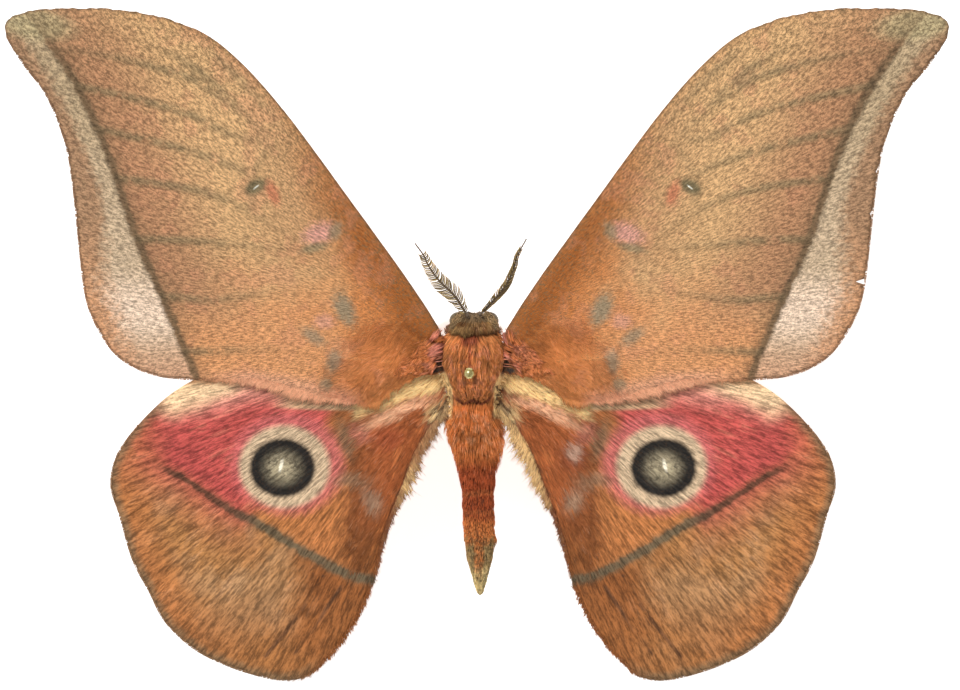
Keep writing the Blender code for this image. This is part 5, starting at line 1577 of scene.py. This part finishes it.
def body_colour():
    """Colour of the coat by its place along the body, shared by the skin and its hair, with painted shade in
    the crease behind the thorax and in the hollows at its sides.
    """
    c = bpy.context.scene.moth_coat
    m, given, made = new_group("body_colour", (("Position", "Vector", (0, 0, 0)),), (("Colour", "Color"),))
    place = m.scaled(given["Position"], 1000)
    x, along, z = m.split(place)
    patches = m.noise(place, 0.8, 3)
    jagged = (patches - 0.5) * 1.2
    aside = abs(x)
    y = along + (m.noise(place, 0.35, 3) - 0.5) * 1.6

    off = abs(x + 0.5)
    front = m.share((y, 3.6, 4.7), (off, 2, 0.8), 0.75)
    parting = m.share((off, 0.32, 0.06), (y, 0.2, 1.4), (y, 5.6, 5), 0.55)
    # The curve where the thorax's hair ends over the metathorax; the dark colour along it is painted shade in
    # the crease.
    crease = m.math("MAXIMUM", -4.4 - aside * aside * 0.18, aside * 0.62 - 5.6)
    rings = m.math("SINE", (y + 19.4) * 2.17)
    beyond = aside - m.math("MAXIMUM", y * 0.38 + 4.05, 3.1) + jagged * 0.5
    # Painted shade: near-black in the hollows between the thorax and the wing roots, one in front and one
    # behind.
    hollow = m.share((beyond + y * 0.1, 0.2, 0.45), (y, -0.6, 0.4), (y, 3.4, 2.6))
    rear_hollow_shade = m.share((aside, 3.3, 3.7), (y, -6.2, -5.4), (y, -1.6, -2.4),
                     (m.noise(place, 1.6, 2), 0.48, 0.56))
    m.feed(made["Colour"], m.layers(
        m.mix(m.ease(y - aside * 0.12, 5.9, 6.4), c.orange, c.brown),
        ((0.26, 0.035, 0.02), m.math("MAXIMUM", front, parting)),
        ((0.66, 0.28, 0.17), (patches, 0.48, 0.62), (y, -4.6, -3), (y, 4.6, 3), 0.4),
        ((0.61, 0.195, 0.05), (y, -4.2, -5.2)),
        ((0.72, 0.34, 0.16), (patches, 0.46, 0.6), (y, -13.5, -10.5), (y, -5, -7), 0.5),
        # Painted shade along the crease behind the thorax.
        ((0.17, 0.035, 0.02), (abs(along + jagged - crease), 0.46, 0.05), (aside, 3.3, 2.2), 0.8),
        ((0.37, 0.068, 0.018), (y, -12.5, -15.5), (y, -24, -21.5), 0.92),
        ((0.46, 0.14, 0.04), (rings, 0.2, 1), (y, -16.8, -17.4), (y, -25, -23.5), 0.5),
        (c.cream, (beyond, -0.1, 0.3), (y, 0.4, -0.6), (y, -7.6, -6.6), 0.9),
        # Near-black painted shade in the two hollows at the thorax's sides.
        ((0.05, 0.025, 0.018), m.math("MAXIMUM", hollow, rear_hollow_shade)),
        (c.olive, (y + patches * 5, -22.2, -24.6),
         (m.ease(abs(x - 0.9), 0.3, 1.6) + patches, 0.35, 0.95), 0.9),
        ((0.63, 0.49, 0.22), (y, -29, -32.5), 0.95),
        ((0.12, 0.085, 0.04), (m.noise(place, 2.2, 3), 0.5, 0.4), (y, -23, -26), 0.5),
        ((0.5, 0.24, 0.11), (z, 25.4, 23.4), 0.5),
    ))
    return m.tree


def skin_material():
    """The skin under the coat, darker than the hair on it."""
    material, shader, m = new_material("body_skin_finish", 0.9)
    place = m.place()
    colour = m.group(body_colour, Position=place)["Colour"]
    fuzz = m.noise(m.vector("MULTIPLY", place, (6000.0, 1400.0, 6000.0)), 1.0, 3.0, 0.7)
    share = m.ease(fuzz, 0.6, 0.35) * 0.4 + 0.45
    m.feed(shader["Base Color"], m.mix(share, colour, (0.06, 0.018, 0.008)))
    add_bump(m, shader, fuzz, 0.5, 0.2)
    return material


def coat_material(name, tones=None, dark=0.66, light=1.85):
    """Hair of one piece; its tone picks between two colours, or its place on the body gives it."""
    material, shader, m = new_material(name, 0.7, 0.3)
    if tones:
        colour = m.mix(m.attribute("tone"), *tones)
    else:
        colour = m.group(body_colour, Position=m.place())["Colour"]
    finish_hair(m, shader, colour, dark, light)
    return material


def eye_material():
    material, shader, m = new_material("eye_finish", 0.45, 0.25)
    place = m.place()
    cells = m.output("Distance", "ShaderNodeTexVoronoi", (), {"Vector": place, "Scale": 6500.0})
    broad = m.noise(place, 900.0, 3.0)
    m.feed(shader["Base Color"], m.layers(
        m.mix(m.ease(broad, 0.35, 0.65), (0.07, 0.045, 0.018), (0.19, 0.135, 0.058)),
        ((0.020, 0.014, 0.007), (cells, 0.3, 0.6), 0.5)))
    add_bump(m, shader, 1.0 - cells, 0.35, 0.03)
    shader["Coat Weight"].default_value = 0.12
    shader["Coat Roughness"].default_value = 0.15
    return material


def plain_material(name, colour, roughness):
    """A horny surface with a fine grain."""
    material, shader, m = new_material(name, roughness)
    grain = m.noise(m.place(), 3000.0, 3.0)
    m.feed(shader["Base Color"], m.mix(grain, [0.6 * v for v in colour], [1.3 * v for v in colour]))
    add_bump(m, shader, grain, 0.25, 0.04)
    return material


def brass_material():
    """Worn brass whose light and dark patches on the head are partly wear and partly painted glints, paler on
    the shaft than on the pin's head.
    """
    material, shader, m = new_material("pin_finish", 0.3, metallic=1.0)
    place = m.place()
    wear_and_glints = m.noise(place, 1500.0, 4.0, 0.6)
    # Light and dark brass on the head: partly wear, partly painted glints.
    colour = m.mix(m.ease(wear_and_glints, 0.3, 0.7), (0.36, 0.29, 0.10), (0.66, 0.58, 0.27))
    head = m.ease(m.split(place)[2], 0.0386, 0.0392)
    m.feed(shader["Base Color"], m.mix(head, (0.60, 0.56, 0.42), colour))
    m.feed(shader["Roughness"], wear_and_glints * 0.24 + 0.16)
    add_bump(m, shader, wear_and_glints, 0.12, 0.04)
    return material


def base_material():
    """Matt white on top, where a painted glow keeps it white in the moth's shadow, and grey on its side."""
    material, shader, m = new_material("base_finish", 0.5)
    place = m.place()
    grain = m.noise(place, 2200.0, 3.0)
    top = m.ease(m.split(place)[2], 0.0055, 0.0059)
    side = m.mix(grain, (0.42, 0.41, 0.39), (0.48, 0.47, 0.45))
    m.feed(shader["Base Color"], m.mix(top, side, m.mix(grain, (0.90, 0.89, 0.87), (0.95, 0.94, 0.92))))
    # Painted glow on the top face, so that the moth's shadow does not show on it.
    m.feed(shader["Emission Color"], m.mix(top, (0.0, 0.0, 0.0), (1.0, 1.0, 1.0)))
    m.feed(shader["Roughness"], grain * 0.15 + 0.42)
    add_bump(m, shader, grain, 0.06, 0.03)
    shader["Emission Strength"].default_value = 0.35
    return material


class MOTH_OT_body_skin(Operator):
    """One skin under the coat, from the face to the tip of the abdomen."""

    bl_idname = "moth.body_skin"
    bl_label = "Body Skin"
    bl_options = {"REGISTER", "UNDO"}

    def execute(self, context):
        settle(body_skin_piece(skin_material()), "thorax_fur", "head", "collar", "thorax", "metathorax",
               "abdomen")
        return {"FINISHED"}


class MOTH_OT_body_coat(Operator):
    """Tufts of the head, collar, thorax and abdomen."""

    bl_idname = "moth.body_coat"
    bl_label = "Body Coat"
    bl_options = {"REGISTER", "UNDO"}

    def execute(self, context):
        c = context.scene.moth_coat
        tuft = tuft_shape()
        hair = coat_material("body_coat_finish")
        head = coat_material("head_coat_finish", (c.brown, (0.32, 0.21, 0.10)), 0.55, 3.2)
        collar = coat_material("collar_coat_finish", ((0.165, 0.072, 0.022), (0.32, 0.18, 0.065)), 0.5, 2.0)
        shoulder = coat_material("shoulder_coat_finish", ((0.53, 0.18, 0.055), c.pink), 0.72, 2.1)
        for name, slot, roots, material, bend in (
            ("coat_head", "head_fur", head_roots(), head, 0.4),
            ("coat_collar", "collar_fur", collar_roots(), collar, 0.5),
            ("coat_thorax", "thorax_fur", thorax_roots(), hair, 1.7),
            ("coat_metathorax", "thorax_fur", metathorax_roots(), hair, 1.2),
            ("coat_flanks", "thorax_fur", flank_roots(), hair, 0.4),
            ("coat_abdomen", "abdomen_fur", abdomen_roots(), hair, 0.7),
        ):
            settle(grow(name, tuft, material, roots, bend), slot)
        for side in SIGNS:
            coat = grow("coat_shoulder_" + side, tuft, shoulder, shoulder_roots(side))
            settle(coat, "shoulder_fur", "tegula_" + side)
        bpy.data.objects.remove(tuft, do_unlink=True)
        return {"FINISHED"}


class MOTH_OT_wings(Operator):
    """The two forewings and the two hindwings."""

    bl_idname = "moth.wings"
    bl_label = "Wings"
    bl_options = {"REGISTER", "UNDO"}

    def execute(self, context):
        materials = {
            "fore": membrane_material("forewing_finish", forewing_colour, (0.17, 0.115, 0.055), 0.45,
                                      150.0, 0.9),
            "hind": membrane_material("hindwing_finish", hindwing_colour, (0.16, 0.08, 0.035), 0.16,
                                      90.0, 0.3),
        }
        for side in SIGNS:
            for pair in WINGS:
                wing = wing_piece(pair, side, materials[pair])
                settle(wing, pair + "wing_scales", f"{pair}wing_{side}")
        return {"FINISHED"}


class MOTH_OT_wing_hair(Operator):
    """Hair at the wing roots and the fringes of the wings."""

    bl_idname = "moth.wing_hair"
    bl_label = "Wing Hair"
    bl_options = {"REGISTER", "UNDO"}

    def execute(self, context):
        tuft = tuft_shape()
        fore = wing_hair_material("forewing_hair_finish", forewing_colour)
        hind = wing_hair_material("hindwing_hair_finish", hindwing_colour)
        for side in SIGNS:
            for name, pair, material, roots, bend in (
                ("hair", "fore", fore, forewing_hair_roots(side), 0.2),
                ("rim", "fore", fore, rim_roots(side, "fore", 14, 31, 81), 0.05),
                ("hair", "hind", hind, hindwing_hair_roots(side), 0.2),
                ("fringe", "hind", hind, fringe_roots(side), 0.2),
                ("rim", "hind", hind, rim_roots(side, "hind", 7, 20, 83), 0.05),
            ):
                roots = measured(roots, side, pair)
                settle(grow(f"{name}_{pair}_{side}", tuft, material, roots, bend), pair + "wing_scales")
        bpy.data.objects.remove(tuft, do_unlink=True)
        return {"FINISHED"}


class MOTH_OT_eyes(Operator):
    """The two domed compound eyes."""

    bl_idname = "moth.eyes"
    bl_label = "Eyes"
    bl_options = {"REGISTER", "UNDO"}

    def execute(self, context):
        material = eye_material()
        for side, sign in SIGNS.items():
            bm = bmesh.new()
            bmesh.ops.create_uvsphere(bm, u_segments=40, v_segments=24, radius=EYE_RADIUS * MM)
            bmesh.ops.translate(bm, verts=bm.verts, vec=Vector(eye_centre(sign)) * MM)
            settle(piece_from_bmesh("compound_eye_" + side, bm, material), "eye", "eye_" + side)
        return {"FINISHED"}


class MOTH_OT_antennae(Operator):
    """The two feathered antennae."""

    bl_idname = "moth.antennae"
    bl_label = "Antennae"
    bl_options = {"REGISTER", "UNDO"}

    def execute(self, context):
        settings = context.scene.moth_antennae
        horn = plain_material("antenna_shaft_finish", (0.10, 0.062, 0.03), 0.5)
        # The dark second colour is painted shade on every other pair of branches.
        hair = coat_material("antenna_branch_finish", (settings.straw, (0.10, 0.062, 0.025)))
        branch = branch_shape()
        for side, route in ANTENNA_ROUTES.items():
            path = smooth_line(route, 0.12)
            share = np.linspace(0, 1, len(path))
            radii = settings.shaft_radius / MM * (1.0 - 0.5 * share ** 1.4)
            radii = radii * (1 + 0.10 * np.cos(share * 2 * math.pi * 34))
            radii[:4] = np.maximum(radii[:4], (0.34, 0.34, 0.3, 0.24))
            settle(swept("antenna_shaft_" + side, path, radii, 12, horn), "antenna", "antenna_" + side)
            settle(grow("antenna_branches_" + side, branch, hair, antenna_branches(side), 0.12), "antenna")
        bpy.data.objects.remove(branch, do_unlink=True)
        return {"FINISHED"}


class MOTH_OT_palps(Operator):
    """The two short palps under the face."""

    bl_idname = "moth.palps"
    bl_label = "Palps"
    bl_options = {"REGISTER", "UNDO"}

    def execute(self, context):
        material = plain_material("palp_finish", (0.15, 0.09, 0.045), 0.8)
        for side, sign in SIGNS.items():
            x = HEAD_MIDDLE_X + sign * 0.75
            corners = ((x, 8.5, 24.75), (x + sign * 0.1, 8.95, 24.8), (x + sign * 0.1, 9.15, 25.3),
                       (x, 9.2, 25.9))
            path = smooth_line(corners, 0.08)
            radii = np.interp(np.linspace(0, 1, len(path)), (0, 0.35, 0.7, 1.0), (0.34, 0.42, 0.36, 0.12))
            settle(swept("mouth_palp_" + side, path, radii, 16, material), "head_fur", "palp_" + side)
        return {"FINISHED"}


class MOTH_OT_legs(Operator):
    """Six folded legs with their hair and claws."""

    bl_idname = "moth.legs"
    bl_label = "Legs"
    bl_options = {"REGISTER", "UNDO"}

    def execute(self, context):
        horn = plain_material("leg_horn_finish", (0.17, 0.075, 0.04), 0.6)
        claw = plain_material("claw_finish", (0.05, 0.028, 0.018), 0.35)
        hair = coat_material("leg_coat_finish", ((0.25, 0.12, 0.06), (0.34, 0.18, 0.09)))
        tuft = tuft_shape()
        for number, pair in enumerate(LEGS):
            for side, sign in SIGNS.items():
                path, radii = leg_route(pair, sign)
                leg = swept(f"limb_{pair}_{side}", path, radii, 14, horn)
                settle(leg, "leg_fur", f"leg_{pair}_{side}")
                foot = path[-1]
                ahead = unit(foot - path[-6])
                across = unit(np.cross(ahead, (0, 0, 1.0)))
                claws = []
                for spread in (-1, 1):
                    corners = (foot, foot + ahead * 0.22 + across * spread * 0.16 + (0, 0, 0.02),
                               foot + ahead * 0.36 + across * spread * 0.2 - (0, 0, 0.16))
                    hook = smooth_line(corners, 0.04)
                    thin = np.linspace(0.07, 0.012, len(hook))
                    claws.append(swept("claw", hook, thin, 8, claw))
                settle(joined_piece(f"claws_{pair}_{side}", claws), "leg_fur")
                roots = leg_tufts(pair, sign, 90 + number)
                settle(grow(f"coat_leg_{pair}_{side}", tuft, hair, roots, 0.1), "leg_fur")
        bpy.data.objects.remove(tuft, do_unlink=True)
        return {"FINISHED"}


class MOTH_OT_pin(Operator):
    """The insect pin with its brass head."""

    bl_idname = "moth.pin"
    bl_label = "Pin"
    bl_options = {"REGISTER", "UNDO"}

    def execute(self, context):
        top = PIN_TIP_Z + PIN_LENGTH
        middle = top - PIN_HEAD_RADIUS
        start = math.asin(PIN_RADIUS / PIN_HEAD_RADIUS)
        profile = []
        for a in (math.pi - start) * np.arange(1, 25) / 24:
            profile.append((PIN_HEAD_RADIUS * math.sin(a), middle + PIN_HEAD_RADIUS * math.cos(a), PIN_X))
        profile.append((PIN_RADIUS, PIN_TIP_Z + PIN_POINT_LENGTH, PIN_X))
        ends = ((PIN_X, 0.0, top), (PIN_X, 0.0, PIN_TIP_Z))
        pin = ringed_piece("insect_pin", turned_rings(profile, 48), ends, brass_material())
        settle(pin, "brass", "pin")
        return {"FINISHED"}


class MOTH_OT_base(Operator):
    """The plain round display base, with a hole for the pin."""

    bl_idname = "moth.base"
    bl_label = "Display Base"
    bl_options = {"REGISTER", "UNDO"}

    def execute(self, context):
        inset = BASE_RADIUS - BASE_BEVEL
        high = BASE_HEIGHT - BASE_BEVEL
        curve = [(BASE_BEVEL * math.sin(a), BASE_BEVEL * math.cos(a)) for a in math.pi / 2 * np.arange(7) / 6]
        profile = [(inset + out, BASE_BEVEL - up, 0.0) for out, up in curve[:6]]
        profile += [(inset + out, high + up, 0.0) for up, out in curve]
        for z in (BASE_HEIGHT, PIN_TIP_Z - PIN_CLEARANCE):
            profile.append((PIN_RADIUS + PIN_CLEARANCE, z, PIN_X))
        base = ringed_piece("display_base", turned_rings(profile, 96), (None, None), base_material())
        base.data.shade_flat()
        settle(base, "pale_base", "stand_base")
        return {"FINISHED"}


class MOTH_OT_stage(Operator):
    """Floor, light and a camera that looks straight down on the moth."""

    bl_idname = "moth.stage"
    bl_label = "Stage"
    bl_options = {"REGISTER", "UNDO"}

    def execute(self, context):
        settings = context.scene.moth_stage
        scene = context.scene
        material, shader, _ = new_material("floor_finish", 0.9)
        shader["Base Color"].default_value = (*settings.floor, 1.0)
        shader["Emission Color"].default_value = (1.0, 1.0, 1.0, 1.0)
        shader["Emission Strength"].default_value = 0.65
        bm = bmesh.new()
        bmesh.ops.create_grid(bm, x_segments=1, y_segments=1, size=1.2)
        piece_from_bmesh("floor", bm, material)

        world = bpy.data.worlds.new("soft_sky")
        world.use_nodes = True
        sky = world.node_tree.nodes["Background"]
        sky.inputs["Color"].default_value = (1.0, 1.0, 1.0, 1.0)
        sky.inputs["Strength"].default_value = settings.sky
        scene.world = world

        sun = bpy.data.lights.new("key", "SUN")
        sun.energy = settings.sun
        sun.angle = math.radians(24)
        key = bpy.data.objects.new("key", sun)
        key.rotation_euler = Vector((-0.42, 0.55, 1.0)).to_track_quat("Z", "Y").to_euler()
        scene.collection.objects.link(key)

        camera = bpy.data.cameras.new("camera")
        camera.lens = settings.lens
        camera.sensor_width = SENSOR_WIDTH
        camera.clip_start = 0.1
        camera.clip_end = 10.0
        view = bpy.data.objects.new("camera", camera)
        height = settings.frame_width * settings.lens / SENSOR_WIDTH
        view.location = Vector(VIEW_CENTRE) * MM + Vector((0.0, 0.0, height))
        scene.collection.objects.link(view)
        scene.camera = view
        scene.view_settings.view_transform = "Standard"
        return {"FINISHED"}


OPERATORS = (MOTH_OT_body_skin, MOTH_OT_body_coat, MOTH_OT_wings, MOTH_OT_wing_hair, MOTH_OT_eyes,
             MOTH_OT_antennae, MOTH_OT_palps, MOTH_OT_legs, MOTH_OT_pin, MOTH_OT_base, MOTH_OT_stage)


class MOTH_PT_panel(Panel):
    """Lists the settings and the steps of the moth's finish."""

    bl_idname = "MOTH_PT_panel"
    bl_label = "Emperor Moth"
    bl_space_type = "VIEW_3D"
    bl_region_type = "UI"
    bl_category = "Moth"

    def draw(self, context):
        for step in OPERATORS:
            self.layout.operator(step.bl_idname)
        for settings, _ in SETTINGS:
            group = getattr(context.scene, settings)
            box = self.layout.box()
            for name in group.bl_rna.properties.keys():
                if name not in ("rna_type", "name"):
                    box.prop(group, name)


SETTINGS = (("moth_wings", WingSettings), ("moth_coat", CoatSettings),
            ("moth_antennae", AntennaSettings), ("moth_stage", StageSettings))


def register():
    for name, group in SETTINGS:
        bpy.utils.register_class(group)
        setattr(bpy.types.Scene, name, PointerProperty(type=group))
    for item in OPERATORS + (MOTH_PT_panel,):
        bpy.utils.register_class(item)


def unregister():
    for item in reversed(OPERATORS + (MOTH_PT_panel,)):
        bpy.utils.unregister_class(item)
    for name, group in reversed(SETTINGS):
        delattr(bpy.types.Scene, name)
        bpy.utils.unregister_class(group)


def main():
    register()
    bpy.ops.moth.body_skin()
    bpy.ops.moth.body_coat()
    bpy.ops.moth.wings()
    bpy.ops.moth.wing_hair()
    bpy.ops.moth.eyes()
    bpy.ops.moth.antennae()
    bpy.ops.moth.palps()
    bpy.ops.moth.legs()
    bpy.ops.moth.pin()
    bpy.ops.moth.base()
    bpy.ops.moth.stage()


if __name__ == "__main__":
    main()
